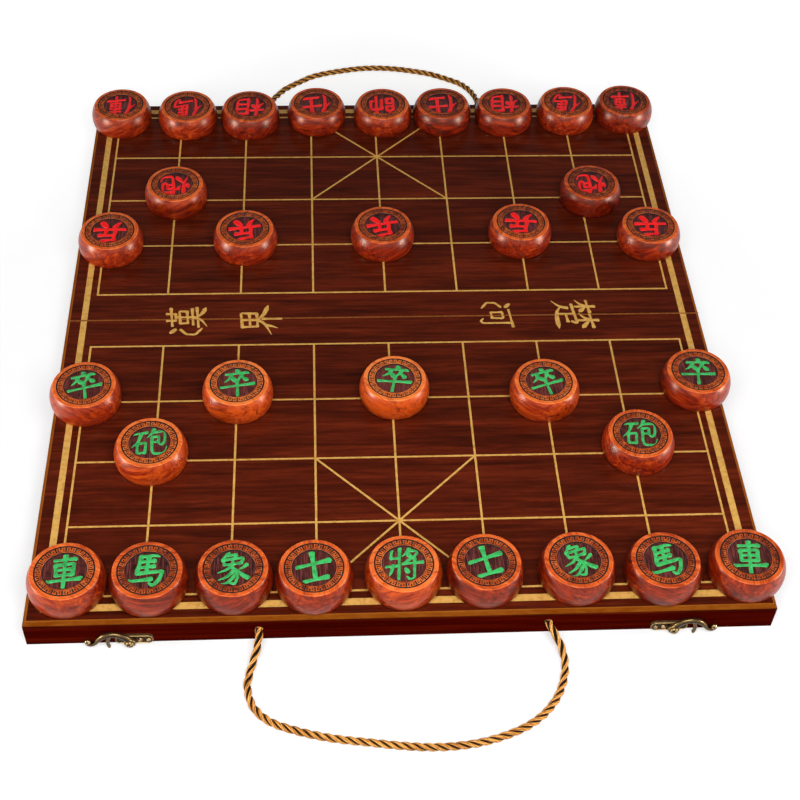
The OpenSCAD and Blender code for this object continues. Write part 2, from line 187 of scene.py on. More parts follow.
def make_camera():
    data = bpy.data.cameras.new("camera")
    data.sensor_width = CAM_SENSOR
    data.lens = CAM_LENS
    data.clip_start = 0.05
    data.clip_end = 50.0
    cam = new_object("camera", data)
    forward = Vector((cos(CAM_ELEVATION) * sin(CAM_AZIMUTH),
                      cos(CAM_ELEVATION) * cos(CAM_AZIMUTH),
                      -sin(CAM_ELEVATION)))
    level = forward.cross(Vector((0, 0, 1))).normalized()
    upright = level.cross(forward)
    right = level * cos(CAM_ROLL) + upright * sin(CAM_ROLL)
    up = upright * cos(CAM_ROLL) - level * sin(CAM_ROLL)
    turn = Matrix((right, up, -forward)).transposed().to_4x4()
    cam.matrix_world = Matrix.Translation(CAM_PLACE) @ turn
    bpy.context.scene.camera = cam


make_camera()


# Materials

def rgb(red, green, blue):
    """A colour given as it looks on screen, from 0 to 255, as the shader wants it."""
    out = []
    for part in (red, green, blue):
        c = part / 255.0
        out.append(c / 12.92 if c <= 0.04045 else ((c + 0.055) / 1.055) ** 2.4)
    return (*out, 1.0)


def grey(value):
    return (value, value, value, 1.0)


class Shade:
    """One material and the nodes put into it."""

    def __init__(self, name):
        self.material = bpy.data.materials.new(name)
        self.material.use_nodes = True
        self.tree = self.material.node_tree
        self.bsdf = self.tree.nodes["Principled BSDF"]

    def put(self, socket, value):
        if isinstance(value, bpy.types.NodeSocket):
            self.tree.links.new(value, socket)
        else:
            socket.default_value = value

    def new(self, kind, *values):
        """A node with its first sockets set."""
        made = self.tree.nodes.new("ShaderNode" + kind)
        for socket, value in zip(made.inputs, values):
            self.put(socket, value)
        return made

    def node(self, kind, out=0, **values):
        made = self.new(kind)
        for key, value in values.items():
            self.put(made.inputs[key.replace("_", " ")], value)
        return made.outputs[out]

    def math(self, how, a, b=0.0, clamp=False):
        made = self.new("Math", a, b)
        made.operation = how
        made.use_clamp = clamp
        return made.outputs[0]

    def plus(self, a, b):
        return self.math("ADD", a, b)

    def less(self, a, b):
        return self.math("SUBTRACT", a, b)

    def times(self, a, b):
        return self.math("MULTIPLY", a, b)

    def length(self, vector):
        made = self.new("VectorMath", vector)
        made.operation = "LENGTH"
        return made.outputs["Value"]

    def mix(self, share, a, b):
        made = self.new("Mix")
        made.data_type = "RGBA"
        for index, value in ((0, share), (6, a), (7, b)):
            self.put(made.inputs[index], value)
        return made.outputs[2]

    def ramp(self, share, stops):
        made = self.new("ValToRGB", share)
        line = made.color_ramp.elements
        while len(line) < len(stops):
            line.new(0.5)
        for stop, (place, colour) in zip(line, stops):
            stop.position = place
            stop.color = colour
        return made.outputs[0]

    def step(self, value, low, high):
        """0 below low, 1 above high and a slope between."""
        return self.new("MapRange", value, low, high).outputs[0]

    def place(self, source="Object"):
        return self.new("TexCoord").outputs[source]

    def attribute(self, name, out="Vector"):
        made = self.new("Attribute")
        made.attribute_name = name
        return made.outputs[out]

    def noise(self, place, often, detail, rough, twist=0.0):
        """Noise that changes so many times a metre along x, y and z."""
        spread = self.node("Mapping", Vector=place, Scale=often)
        return self.node("TexNoise", Vector=spread, Scale=1.0, Detail=detail,
                         Roughness=rough, Distortion=twist)

    def split(self, vector, axis):
        return self.node("SeparateXYZ", out=axis, Vector=vector)

    def bump(self, height, strength, depth):
        return self.node("Bump", Height=height, Strength=strength, Distance=depth)

    def set(self, **values):
        for key, value in values.items():
            self.put(self.bsdf.inputs[key.replace("_", " ")], value)
        return self.material


WARM_SHEEN = rgb(255, 216, 190)
# Heights of the chamfer's top edge, where a painted highlight line runs
HIGHLIGHT_LINE_LOW, HIGHLIGHT_LINE_HIGH = 0.0252, 0.0258


def gilt_bevel(s, colour, shine, tones):
    """Paints the panel's chamfer, found by the slope of its faces, and dulls all but its top. A paler gilt line along
    the chamfer's top edge is a painted highlight.
    """
    gilt, pale_gilt_and_highlight = tones
    at = s.place()
    lift = s.split(s.place("Normal"), 2)
    edge = s.times(s.step(lift, 0.45, 0.6), s.less(1.0, s.step(lift, 0.8, 0.93)))
    worn = s.noise(at, (60, 60, 400), 5, 0.7)
    # Painted highlight: a line of paler gilt along the top edge of the chamfer
    painted_highlight_line = s.step(s.split(at, 2), HIGHLIGHT_LINE_LOW, HIGHLIGHT_LINE_HIGH)
    gold = s.mix(s.times(s.step(worn, 0.35, 0.7), 0.45), gilt, pale_gilt_and_highlight)
    gold = s.mix(s.times(painted_highlight_line, 0.5), gold, pale_gilt_and_highlight)
    return s.mix(edge, colour, gold), s.times(shine, s.step(lift, 0.85, 0.95))


def wood(name, tones, often, rough=0.45, shine=0.0, pore=0.5, bevel=None):
    """Straight-grained wood. often says how often the grain changes along x, y and z."""
    dark, mid, light = tones
    s = Shade(name)
    at = s.place()
    wide = s.noise(at, [v * 0.25 for v in often], 3, 0.55, 0.6)
    fine = s.noise(at, often, 6, 0.65, 0.35)
    hair = s.noise(at, [v * 4 for v in often], 3, 0.6)
    share = s.plus(s.times(wide, 0.45), s.times(fine, 0.55))
    colour = s.ramp(share, [(0.30, dark), (0.48, mid), (0.68, light)])
    pores = s.step(hair, 0.60, 0.72)
    colour = s.mix(s.times(pores, pore), colour, dark)
    height = s.plus(s.times(fine, 0.5), s.times(pores, -0.6))
    if bevel:
        colour, shine = gilt_bevel(s, colour, shine, bevel)
    return s.set(Base_Color=colour, Roughness=s.plus(rough, s.times(pores, 0.15)),
                 Specular_IOR_Level=shine, Specular_Tint=WARM_SHEEN,
                 Normal=s.bump(height, 0.12, 0.0004))


CARVED_LIGHT = rgb(126, 62, 60)


def rosewood(name, tones, rough, carved=0.0, shine=0.4):
    """Turned rosewood. Each piece carries its own grain place, so no two look the same."""
    dark, mid, light = tones
    s = Shade(name)
    at = s.attribute("grain")
    tone = s.attribute("tone", "Fac")
    bands = s.noise(at, (26, 150, 210), 5, 0.6, 1.2)
    fine = s.noise(at, (90, 900, 1100), 4, 0.6, 0.3)
    hair = s.noise(at, (260, 2600, 2600), 2, 0.5)
    share = s.plus(s.times(bands, 0.72), s.times(fine, 0.28))
    share = s.plus(share, s.times(s.less(tone, 0.5), 0.36))
    colour = s.ramp(share, [(0.34, dark), (0.49, mid), (0.68, light)])
    vein = s.noise(at, (16, 330, 330), 2, 0.5, 0.8)
    colour = s.mix(s.times(s.step(vein, 0.58, 0.66), 0.55), colour, dark)
    pores = s.step(hair, 0.60, 0.75)
    colour = s.mix(s.times(pores, 0.35), colour, dark)
    if carved:
        marks = s.noise(s.place(), (1100, 70, 70), 3, 0.5, 0.5)
        colour = s.mix(s.times(s.step(marks, 0.48, 0.62), carved), colour, CARVED_LIGHT)
    height = s.less(s.times(fine, 0.5), s.times(pores, 0.6))
    return s.set(Base_Color=colour, Roughness=s.plus(rough, s.times(pores, 0.12)),
                 Specular_IOR_Level=shine, Specular_Tint=WARM_SHEEN,
                 Normal=s.bump(height, 0.1, 0.0003))


def paint(name, colour, deep, rough):
    s = Shade(name)
    blot = s.noise(s.place(), (260, 260, 260), 4, 0.6, 0.5)
    return s.set(Base_Color=s.ramp(blot, [(0.32, deep), (0.55, colour)]), Roughness=rough,
                 Normal=s.bump(blot, 0.15, 0.0003))


def metal(name, colour, deep, bright_wear_and_highlight, rough):
    """Plated metal, lighter where its edges stand out: partly wear and partly a painted highlight."""
    s = Shade(name)
    at = s.place()
    blot = s.noise(at, (500, 500, 500), 5, 0.6, 0.4)
    fine = s.noise(at, (2600, 2600, 2600), 2, 0.5)
    points_out = s.new("NewGeometry").outputs["Pointiness"]
    # Edges that stand out turn to the bright tone: partly wear, partly painted highlight
    edge = s.math("MAXIMUM", s.step(points_out, 0.53, 0.62), s.attribute("wear_and_highlight", "Fac"))
    tint = s.ramp(blot, [(0.35, deep), (0.6, colour)])
    tint = s.mix(s.times(edge, 0.8), tint, bright_wear_and_highlight)
    return s.set(Base_Color=tint, Metallic=1.0, Roughness=s.plus(rough, s.times(blot, 0.2)),
                 Normal=s.bump(fine, 0.08, 0.0002))


def felt(name, colour, deep):
    s = Shade(name)
    at = s.place()
    pile = s.noise(at, (1500, 1500, 1500), 4, 0.7, 0.6)
    blot = s.noise(at, (45, 45, 45), 3, 0.6)
    tint = s.mix(s.times(blot, 0.5), s.ramp(pile, [(0.3, deep), (0.65, colour)]), deep)
    return s.set(Base_Color=tint, Roughness=0.95, Sheen_Weight=0.5, Normal=s.bump(pile, 0.6, 0.0006))


def rope_fibre(name, dark, mid, light, groove_shade):
    """Twisted yarn. twist holds the way along, the turn round the strand and the depth, by which the colour darkens as
    painted shade in the grooves between the strands.
    """
    s = Shade(name)
    along, around, deep = (s.split(s.attribute("twist"), axis) for axis in range(3))
    yarn = s.math("SINE", s.plus(s.times(around, 6.0), s.times(along, 900.0)))
    fuzz = s.noise(s.place(), (1800, 1800, 1800), 3, 0.6, 0.4)
    blot = s.noise(s.place(), (70, 70, 70), 2, 0.5)
    share = s.plus(s.times(yarn, 0.16), s.plus(s.times(fuzz, 0.4), s.times(blot, 0.3)))
    colour = s.ramp(share, [(0.12, dark), (0.36, mid), (0.6, light)])
    # Painted shade: deep in the grooves between the strands and on the core the colour turns dark
    colour = s.mix(s.step(deep, 0.14, 0.36), colour, groove_shade)
    height = s.plus(s.times(yarn, 0.5), s.times(fuzz, 0.5))
    return s.set(Base_Color=colour, Roughness=0.7, Specular_IOR_Level=0.25,
                 Normal=s.bump(height, 0.5, 0.0004))


BOARD_TONES = rgb(38, 8, 3), rgb(76, 22, 8), rgb(112, 38, 16)
WALL_TONES = rgb(38, 2, 0), rgb(66, 5, 1), rgb(92, 18, 3)
# The pieces' side tones are the wood's colour with painted shade: darker and redder than the tops
SIDE_TONES_SHADED = rgb(74, 9, 3), rgb(138, 32, 5), rgb(200, 76, 18)
TOP_TONES = rgb(158, 52, 16), rgb(216, 94, 36), rgb(238, 126, 58)
# The band's raised key pattern and rim: the wood's colour darkened with painted shade
BAND_TONES_SHADED = rgb(116, 36, 12), rgb(190, 82, 30), rgb(220, 114, 50)
DISC_TONES = rgb(36, 9, 9), rgb(64, 21, 20), rgb(92, 36, 34)

GOLD_LINE = paint("line_gold", rgb(216, 166, 84), rgb(188, 134, 58), 0.42)
SEAM_LINE = paint("seam_gold", rgb(150, 84, 26), rgb(110, 58, 16), 0.45)
# The chamfer's gilt, and a paler gilt for its worn streaks and for the painted highlight line on its top edge
BOARD = wood("board_mahogany", BOARD_TONES, (22, 300, 300), rough=0.18, shine=0.26, pore=0.9,
             bevel=(rgb(110, 50, 6), rgb(160, 96, 30)))
WALL_X = wood("frame_wood_long", WALL_TONES, (12, 300, 420))
WALL_Y = wood("frame_wood_side", WALL_TONES, (300, 12, 420))
# The turned sides of the pieces, with painted shade in their colour
SIDE_WOOD_SHADED = rosewood("piece_side_painted_shade", SIDE_TONES_SHADED, 0.33, shine=0.55)
TOP_WOOD = rosewood("piece_top", TOP_TONES, 0.38)
# The band between the ring groove and the disc, with painted shade in its colour
BAND_WOOD_SHADED = rosewood("piece_band_painted_shade", BAND_TONES_SHADED, 0.45)
DISC_WOOD = rosewood("piece_disc", DISC_TONES, 0.5, carved=0.7)
# Black for the grooves and the sunk key pattern, and for the painted shade at the disc's edge
INK_AND_SHADE = paint("piece_groove_and_shade", rgb(16, 6, 4), rgb(8, 3, 2), 0.8)
GREEN = paint("piece_green", rgb(62, 186, 98), rgb(40, 138, 66), 0.4)
RED = paint("piece_red", rgb(255, 20, 22), rgb(238, 12, 16), 0.4)
# The third tone of each metal lights its standing-out edges, as wear and as painted highlight
BRONZE = metal("bronze", rgb(66, 44, 20), rgb(14, 8, 4), rgb(246, 208, 142), 0.25)
SCREW = metal("screw_brass", rgb(196, 160, 112), rgb(92, 66, 38), rgb(255, 236, 204), 0.2)
FELT = felt("felt_red", rgb(120, 24, 30), rgb(72, 10, 16))
# The last tone is the painted shade in the rope's grooves
ROPE = rope_fibre("rope_fibre", rgb(126, 64, 16), rgb(212, 136, 50), rgb(252, 200, 112),
                  rgb(26, 9, 2))


# Meshes

def make_mesh(name, points, faces, materials, marks=None, smooth=True):
    """A mesh object of points in metres. marks gives each face its material's number."""
    data = bpy.data.meshes.new(name)
    data.from_pydata(points, [], faces)
    for material in materials:
        data.materials.append(material)
    if marks:
        data.polygons.foreach_set("material_index", marks)
    data.polygons.foreach_set("use_smooth", [smooth] * len(faces))
    data.update()
    return new_object(name, data)


def add_vectors(made, name, values):
    layer = made.data.attributes.new(name, "FLOAT_VECTOR", "POINT")
    layer.data.foreach_set("vector", [c for v in values for c in v])


def add_numbers(made, name, values):
    layer = made.data.attributes.new(name, "FLOAT", "POINT")
    layer.data.foreach_set("value", values)


def sharp_by_angle(made, degrees):
    made.data.set_sharp_from_angle(angle=radians(degrees))


def circle(radius, count):
    turns = [2 * pi * k / count for k in range(count)]
    return [(radius * cos(a), radius * sin(a)) for a in turns]


def skin(faces, low, high, count):
    """The faces between two rings of points, which start at low and at high."""
    for k in range(count):
        n = (k + 1) % count
        faces.append((low + k, low + n, high + n, high + k))


def tube(faces, first, count, rows, open_foot=False):
    """The faces of a row of rings, closed at its ends."""
    for i in range(rows - 1):
        skin(faces, first + i * count, first + (i + 1) * count, count)
    last = first + (rows - 1) * count
    faces.append(tuple(range(last, last + count)))
    if not open_foot:
        faces.append(tuple(range(first + count - 1, first - 1, -1)))


# The carrying ropes

ROPE_R = 3.0
STRANDS = 3
STRAND_R = 1.33
STRAND_OUT = 1.67
CORE_R = 0.8
LAY_LENGTH = 23.5
SLACK_LAY, SLACK_RUN = 13.0, 70.0
# How strongly depth into the rope darkens it as painted shade, and how much more towards slack ends
GROOVE_SHADE_GAIN, SLACK_SHADE_GAIN = 1.15, 0.9
EXIT_Z = 12.5
REST_Z = 3.0
# Each point: millimetres to the right, out from the wall, and share of the height of the holes
FRONT_ROUTE = [
    (-107, 0, 1), (-107, 8, 0.98), (-108.3, 15, 0.78), (-110.5, 22, 0.44), (-113, 30, 0.13),
    (-115, 40, 0), (-114, 49, 0), (-111, 58, 0), (-105, 66, 0), (-96, 72.5, 0), (-84, 77.5, 0),
    (-68, 82.5, 0), (-50, 86.5, 0), (-30, 89.5, 0), (-10, 92.5, 0), (10, 94.5, 0), (30, 94.5, 0),
    (50, 92, 0), (68, 87, 0), (84, 80, 0), (97, 70.5, 0), (107, 58.5, 0), (113, 46, 0), (116, 34, 0.04),
    (116, 25, 0.23), (113.5, 16, 0.63), (109.5, 8, 0.95), (107, 0, 1),
]
REAR_ROUTE = [
    (-107, 0, 1), (-107, 8, 0.98), (-106.5, 17, 0.84), (-105, 27, 0.56), (-101.5, 38, 0.26),
    (-97, 47, 0.12), (-91, 56, 0.05), (-84, 63, 0), (-75, 70, 0), (-62, 77.5, 0.13), (-47, 82, 0.24),
    (-29, 85.5, 0.34), (-11, 88.5, 0.38), (7, 89.5, 0.38), (25, 88.5, 0.34), (44, 86, 0.24),
    (62, 82, 0.15), (75, 77, 0.06), (85, 71.5, 0.05), (94, 65, 0.09), (101, 56, 0.17),
    (105.5, 46.5, 0.27), (108.5, 35, 0.44), (109.5, 25, 0.66), (108.5, 16, 0.86), (107, 8, 0.98),
    (107, 0, 1),
]
HOLE_X = 107.0


def through(knots, per_span):
    """A smooth line through the knots."""
    out = []
    for i in range(len(knots) - 1):
        p0 = knots[max(i - 1, 0)]
        p1, p2 = knots[i], knots[i + 1]
        p3 = knots[min(i + 2, len(knots) - 1)]
        for k in range(per_span):
            t = k / per_span
            out.append(tuple(
                0.5 * (2 * b + (c - a) * t + (2 * a - 5 * b + 4 * c - d) * t * t
                       + (3 * b - a - 3 * c + d) * t ** 3)
                for a, b, c, d in zip(p0, p1, p2, p3)))
    out.append(tuple(knots[-1]))
    return out


def even(points, gap):
    """The same line with points about gap apart."""
    lengths = [0.0]
    for a, b in zip(points, points[1:]):
        lengths.append(lengths[-1] + (Vector(b) - Vector(a)).length)
    count = max(2, round(lengths[-1] / gap))
    out, j = [], 0
    for i in range(count + 1):
        want = lengths[-1] * i / count
        while j < len(lengths) - 2 and lengths[j + 1] < want:
            j += 1
        span = lengths[j + 1] - lengths[j] or 1.0
        out.append(Vector(points[j]).lerp(Vector(points[j + 1]), (want - lengths[j]) / span))
    return out, lengths[-1]


def heading(line, i):
    """The direction of a line at its point number i."""
    before, after = line[max(i - 1, 0)], line[min(i + 1, len(line) - 1)]
    return (Vector(after) - Vector(before)).normalized()


def frames_along(line):
    """A steady sideways and upward direction at each point of a line."""
    tangents = [heading(line, i) for i in range(len(line))]
    side = tangents[0].cross(Vector((0, 0, 1))).normalized()
    out = []
    for t in tangents:
        side = (side - t * side.dot(t)).normalized()
        out.append((side, t.cross(side)))
    return out


def lay_strands(rope, line, gap, scale=1.0, slack=False, sides=12):
    """Adds three strands and a core, laid round a line in millimetres, to a rope.

    A rope is its points, faces and twist. A slack rope opens a little towards its ends, and its grooves take more
    painted shade there."""
    points, faces, twist = rope
    axes = frames_along(line)
    turns, looseness = [0.0], []
    for i in range(len(line)):
        from_end = min(i, len(line) - 1 - i) * gap
        looseness.append(max(0.0, 1.0 - from_end / SLACK_RUN) if slack else 0.0)
        turns.append(turns[-1] + 2 * pi * gap / (LAY_LENGTH * scale + SLACK_LAY * looseness[-1]))
    rods = [(STRAND_OUT * scale, STRAND_R * scale, 2 * pi * k / STRANDS) for k in range(STRANDS)]
    for out, radius, start in rods + [(0.0, CORE_R * scale, 0.0)]:
        first = len(points)
        centres = [p + a * (out * cos(start + turn)) + b * (out * sin(start + turn))
                   for p, (a, b), turn in zip(line, axes, turns)]
        for i, centre in enumerate(centres):
            t = heading(centres, i)
            outward = centre - line[i] if out else axes[i][0]
            u = (outward - t * outward.dot(t)).normalized()
            v = t.cross(u)
            for k in range(sides):
                turn = 2 * pi * k / sides
                at = centre + (u * cos(turn) + v * sin(turn)) * radius
                points.append(at * MM)
                # How deep the point lies in the rope, which the fibre turns into painted shade
                deep = 1.0 - (at - line[i]).length / (ROPE_R * scale)
                twist.append((i * gap * MM, turn if k < sides / 2 else 2 * pi - turn,
                              deep * (GROOVE_SHADE_GAIN + SLACK_SHADE_GAIN * looseness[i])))
        tube(faces, first, sides, len(centres))


def rope_mesh(name, rope, node, body):
    points, faces, twist = rope
    made = make_mesh(name, points, faces, [ROPE])
    add_vectors(made, "twist", twist)
    sharp_by_angle(made, 60)
    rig.ride(made, body)
    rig.replaces(made, node)
    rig.slot(made, "rope")
    return made


def carrying_rope(tray, route, towards):
    knots = [(x, towards * (HALF_D + out), REST_Z + (EXIT_Z - REST_Z) * share)
             for x, out, share in route]
    line, length = even(through(knots, 12), 1.0)
    rope = ([], [], [])
    lay_strands(rope, line, length / (len(line) - 1), slack=True)
    made = rope_mesh(tray + "_carrying_rope", rope, tray + "_rope", tray + "_tray")
    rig.cord(made, exit=line[0] * MM, length=length * MM, diameter=2 * ROPE_R * MM, far_end="object",
            stiffness="medium", lay="loose", path=[p * MM for p in line])


carrying_rope("front", FRONT_ROUTE, -1)
carrying_rope("rear", REAR_ROUTE, 1)

# In millimetres, measured inwards from the outside of the wall
RUN_FROM, RUN_STEP, RUN_POINTS = 0.2, 0.5, 25
TAIL_END, TAIL_SCALE, TAIL_POINTS = 27.0, 0.96, 12
DROOP_POINTS, DROOP = 3, 0.02
COIL_FROM, COIL_LONG, COIL_TURNS, COIL_OUT, COIL_SCALE = 12.6, 8.4, 2.4, 4.0, 0.8
COIL_STEPS, COIL_TUCK, COIL_SWELL, COIL_MIDDLE = 72, 0.1, 0.7, 0.05


def stopper_knots(tray, towards):
    """At each end the rope runs in through the wall, is coiled round itself and ends in a tail."""
    rope = ([], [], [])
    for sign in (-1, 1):
        def inside(u, v, depth):
            return Vector((sign * HOLE_X + u, towards * (HALF_D - depth), EXIT_Z + v))
        run = [inside(0, 0, RUN_FROM + k * RUN_STEP) for k in range(RUN_POINTS)]
        lay_strands(rope, run, RUN_STEP)
        tail = [inside(0, 0, COIL_FROM + COIL_LONG - 1 + k * RUN_STEP) for k in range(TAIL_POINTS)]
        tail += [inside(0, -DROOP * k * k, TAIL_END - 1 + k * RUN_STEP)
                 for k in range(DROOP_POINTS)]
        lay_strands(rope, tail, RUN_STEP, TAIL_SCALE)
        coil = []
        for k in range(COIL_STEPS + 1):
            share = k / COIL_STEPS
            a = 2 * pi * COIL_TURNS * share
            tuck = min(1.0, share / COIL_TUCK, (1 - share) / COIL_TUCK)
            out = COIL_OUT * sin(tuck * pi / 2) ** COIL_SWELL + COIL_MIDDLE
            coil.append((out * cos(a), out * sin(a), COIL_FROM + COIL_LONG * share))
        line, length = even([inside(*p) for p in coil], 0.8)
        lay_strands(rope, line, length / (len(line) - 1), COIL_SCALE)
    rope_mesh(tray + "_stopper_knots", rope, tray + "_rope_knots", tray + "_tray")


stopper_knots("front", -1)
stopper_knots("rear", 1)


# Writing

def brush(text):
    """The strokes in a text: each is a letter for its kind, then x and y of its points.

    Kinds are H level, V upright, P falling to the left, N falling to the right, D dot,
    F with a corner and K with a hook. The points lie on a grid of 100."""
    out = []
    for part in text.split(","):
        kind, *numbers = part.split()
        numbers = [float(n) for n in numbers]
        out.append((kind, tuple(zip(numbers[::2], numbers[1::2]))))
    return out


CHARIOT = brush("""
    H 24 84 76 86, V 28 70 30 38, F 28 70 72 72 70 38, H 30 55 70 56, H 30 39 70 40, H 8 23 92 26,
    V 50 99 50 0""")
HORSE = brush("""
    V 33 93 25 42, H 32 91 76 95, H 31 75 66 78, H 29 59 66 62, V 51 91 48 44,
    K 25 42 88 46 81 22 68 3 57 13, H 1 19 62 24""")
ELEPHANT = brush("""
    P 40 99 32 88 22 80, F 38 90 62 91 54 80, V 26 78 30 62, F 26 78 76 79 70 62, H 30 63 70 64,
    V 50 79 50 64, P 50 63 36 50 12 42, K 44 56 57 44 60 22 53 4 40 9, P 50 42 34 28 12 20,
    P 54 30 38 13 14 3, P 84 57 74 50 64 45, N 58 46 72 28 94 11""")
ADVISOR = brush("H 8 60 92 66, V 50 98 50 18, H 20 15 80 18")
GENERAL = brush("""
    V 38 98 38 2, V 18 90 17 66, H 17 66 38 68, H 6 42 38 45, P 23 46 18 24 8 8, P 62 99 54 82 43 72,
    K 60 89 86 91 75 72 50 53, D 58 81 64 72, D 66 73 72 66, H 46 50 98 55, K 76 66 76 8 68 2 58 12,
    D 54 36 62 24""")
WRAP = brush("""
    P 62 98 54 80 43 68, K 58 84 91 86 89 50 82 38 73 46, F 56 68 74 69 73 50, H 57 50 73 51,
    K 56 68 56 24 60 11 86 9 93 14 94 30""")
STONE_CANNON = brush("""
    H 6 84 44 86, P 28 84 20 58 4 40, V 18 50 18 16, F 18 50 40 52 38 16, H 18 18 38 18""") + WRAP
FIRE_CANNON = brush("""
    D 10 70 14 55, P 44 76 39 67 34 60, P 26 96 24 60 16 32 2 10, N 26 46 34 32 46 14""") + WRAP
PAWN_GREEN = brush("""
    D 50 100 55 88, H 20 84 82 86, P 36 82 30 68 16 57, D 36 71 47 57, P 64 82 58 68 47 57,
    N 64 71 71 63 80 55, H 4 38 96 42, V 50 60 50 0""")
PAWN_RED = brush("""
    P 68 97 54 92 34 88, V 32 90 32 46, H 32 68 78 70, V 60 68 60 46, H 2 40 98 45, P 38 33 32 20 18 6,
    D 60 33 80 10""")
MARSHAL = brush("""
    P 27 99 24 90 18 85, V 16 86 16 14, F 16 84 38 85 37 62, H 16 62 37 63, F 16 44 38 45 37 20,
    H 16 20 37 21, V 54 74 54 24, K 54 74 90 76 90 28 80 32, V 72 99 72 0""")
PERSON = brush("P 30 98 22 74 4 50, V 21 68 21 0")
SCHOLAR = PERSON + brush("H 36 62 98 65, V 67 96 67 20, H 42 17 92 19")
MINISTER = brush("""
    H 2 66 46 69, V 26 99 26 0, P 26 64 18 44 0 27, N 28 58 36 48 44 38, V 56 88 56 4,
    F 56 86 92 87 91 4, H 57 60 90 61, H 57 35 90 36, H 57 8 90 9""")


def beside_person(strokes, low=32):
    """A character squeezed to the right, past low, with the sign of a person at its left."""
    return PERSON + [(kind, tuple((low + (100 - low) * x / 100, y) for x, y in pts))
                     for kind, pts in strokes]


RED_CHARIOT = beside_person(CHARIOT)
RED_HORSE = beside_person(HORSE)
WATER = brush("D 10 92 23 78, K 22 66 5 52 4 30 26 12")
RIVER_HE = WATER + brush("""
    H 32 86 100 88, V 42 66 43 34, F 42 66 66 67 64 34, H 43 35 64 36, K 84 86 84 8 76 2 66 11""")
RIVER_HAN = WATER + brush("""
    H 34 86 98 88, V 54 99 54 76, V 78 99 78 76, H 54 77 78 77, V 44 66 45 46, F 44 66 88 67 86 46,
    H 45 47 86 48, V 66 76 66 34, H 38 34 96 35, H 30 21 100 23, P 66 34 56 14 32 0,
    N 66 23 80 10 100 0""")
RIVER_CHU = brush("""
    H 6 82 46 84, V 26 99 26 52, P 26 80 18 66 4 56, N 28 76 35 69 44 60, H 52 82 96 84, V 72 99 72 52,
    P 72 80 62 66 48 57, N 74 78 84 68 98 57, F 18 45 82 48 75 36, V 50 46 50 10, H 50 26 76 27,
    P 30 34 24 16 6 0, N 26 18 50 5 98 2""")
RIVER_JIE = brush("""
    V 26 95 28 56, F 26 94 74 95 72 56, H 28 75 72 75, V 50 94 50 56, H 28 57 72 57, P 52 58 36 40 0 26,
    N 48 58 70 40 100 28, P 32 36 28 22 22 10, V 54 44 54 -2""")


SLOPE = 0.075
STROKE_STEP, THINNEST = 3.5, 0.16
# Across a stroke, as shares of its half width and of its height
STROKE_EDGE = ((1.0, 0.0), (0.9, 0.75), (0.76, 1.0), (-0.76, 1.0), (-0.9, 0.75), (-1.0, 0.0))
# How far a stroke's ends reach out and how wide they are, as shares of its width there
TIP_OUT, FIRST_TIP, LAST_TIP = 0.55, 0.55, 0.5
DRAWN_IN = 0.25
CORNER_CUT, CORNER_SHARE = 3.0, 0.4


def corners(pts):
    """Straight runs with a small rounded corner where they meet."""
    out = [(*pts[0], 0.0)]
    for a, b, c in zip(pts, pts[1:], pts[2:]):
        a, b, c = Vector(a), Vector(b), Vector(c)
        cut = min(CORNER_CUT, (a - b).length * CORNER_SHARE, (c - b).length * CORNER_SHARE)
        p, q = b + (a - b).normalized() * cut, b + (c - b).normalized() * cut
        for t in (0.0, 0.5, 1.0):
            m = p.lerp(b, t).lerp(b.lerp(q, t), t)
            out.append((m.x, m.y, 0.0))
    out.append((*pts[-1], 0.0))
    return out


def stroke_width(kind, t):
    """The share of full width at t, which runs from 0 to 1 along a stroke."""
    if kind == "H":
        return 0.92 - 0.36 * sin(pi * t) + 0.34 * t
    if kind == "V":
        return 1.3 - 0.36 * sin(pi * min(1.0, 1.25 * t)) - 0.42 * t
    if kind == "P":
        return 1.28 - 1.05 * t ** 1.3
    if kind == "N":
        swell = sin(pi * min(1.0, t * 0.62))
        return 0.45 + swell - 1.05 * max(0.0, (t - 0.82) / 0.18)
    if kind == "D":
        return 0.6 + 0.85 * sin(pi * (0.12 + 0.68 * t))
    hook = 0.62 * max(0.0, (t - 0.86) / 0.14) if kind == "K" else 0.0
    return 1.08 - 0.25 * sin(pi * t) - hook


def stroke_line(kind, pts):
    """The stroke's middle line and its share of full width at each point."""
    if kind in "FK":
        rounded = corners(pts)
    elif len(pts) > 2:
        rounded = through([(x, y, 0.0) for x, y in pts], 6)
    else:
        rounded = [(x, y, 0.0) for x, y in pts]
    line, _ = even(rounded, STROKE_STEP)
    last = len(line) - 1
    widths = [max(stroke_width(kind, i / last), THINNEST) for i in range(last + 1)]
    return [p.to_2d() for p in line], widths


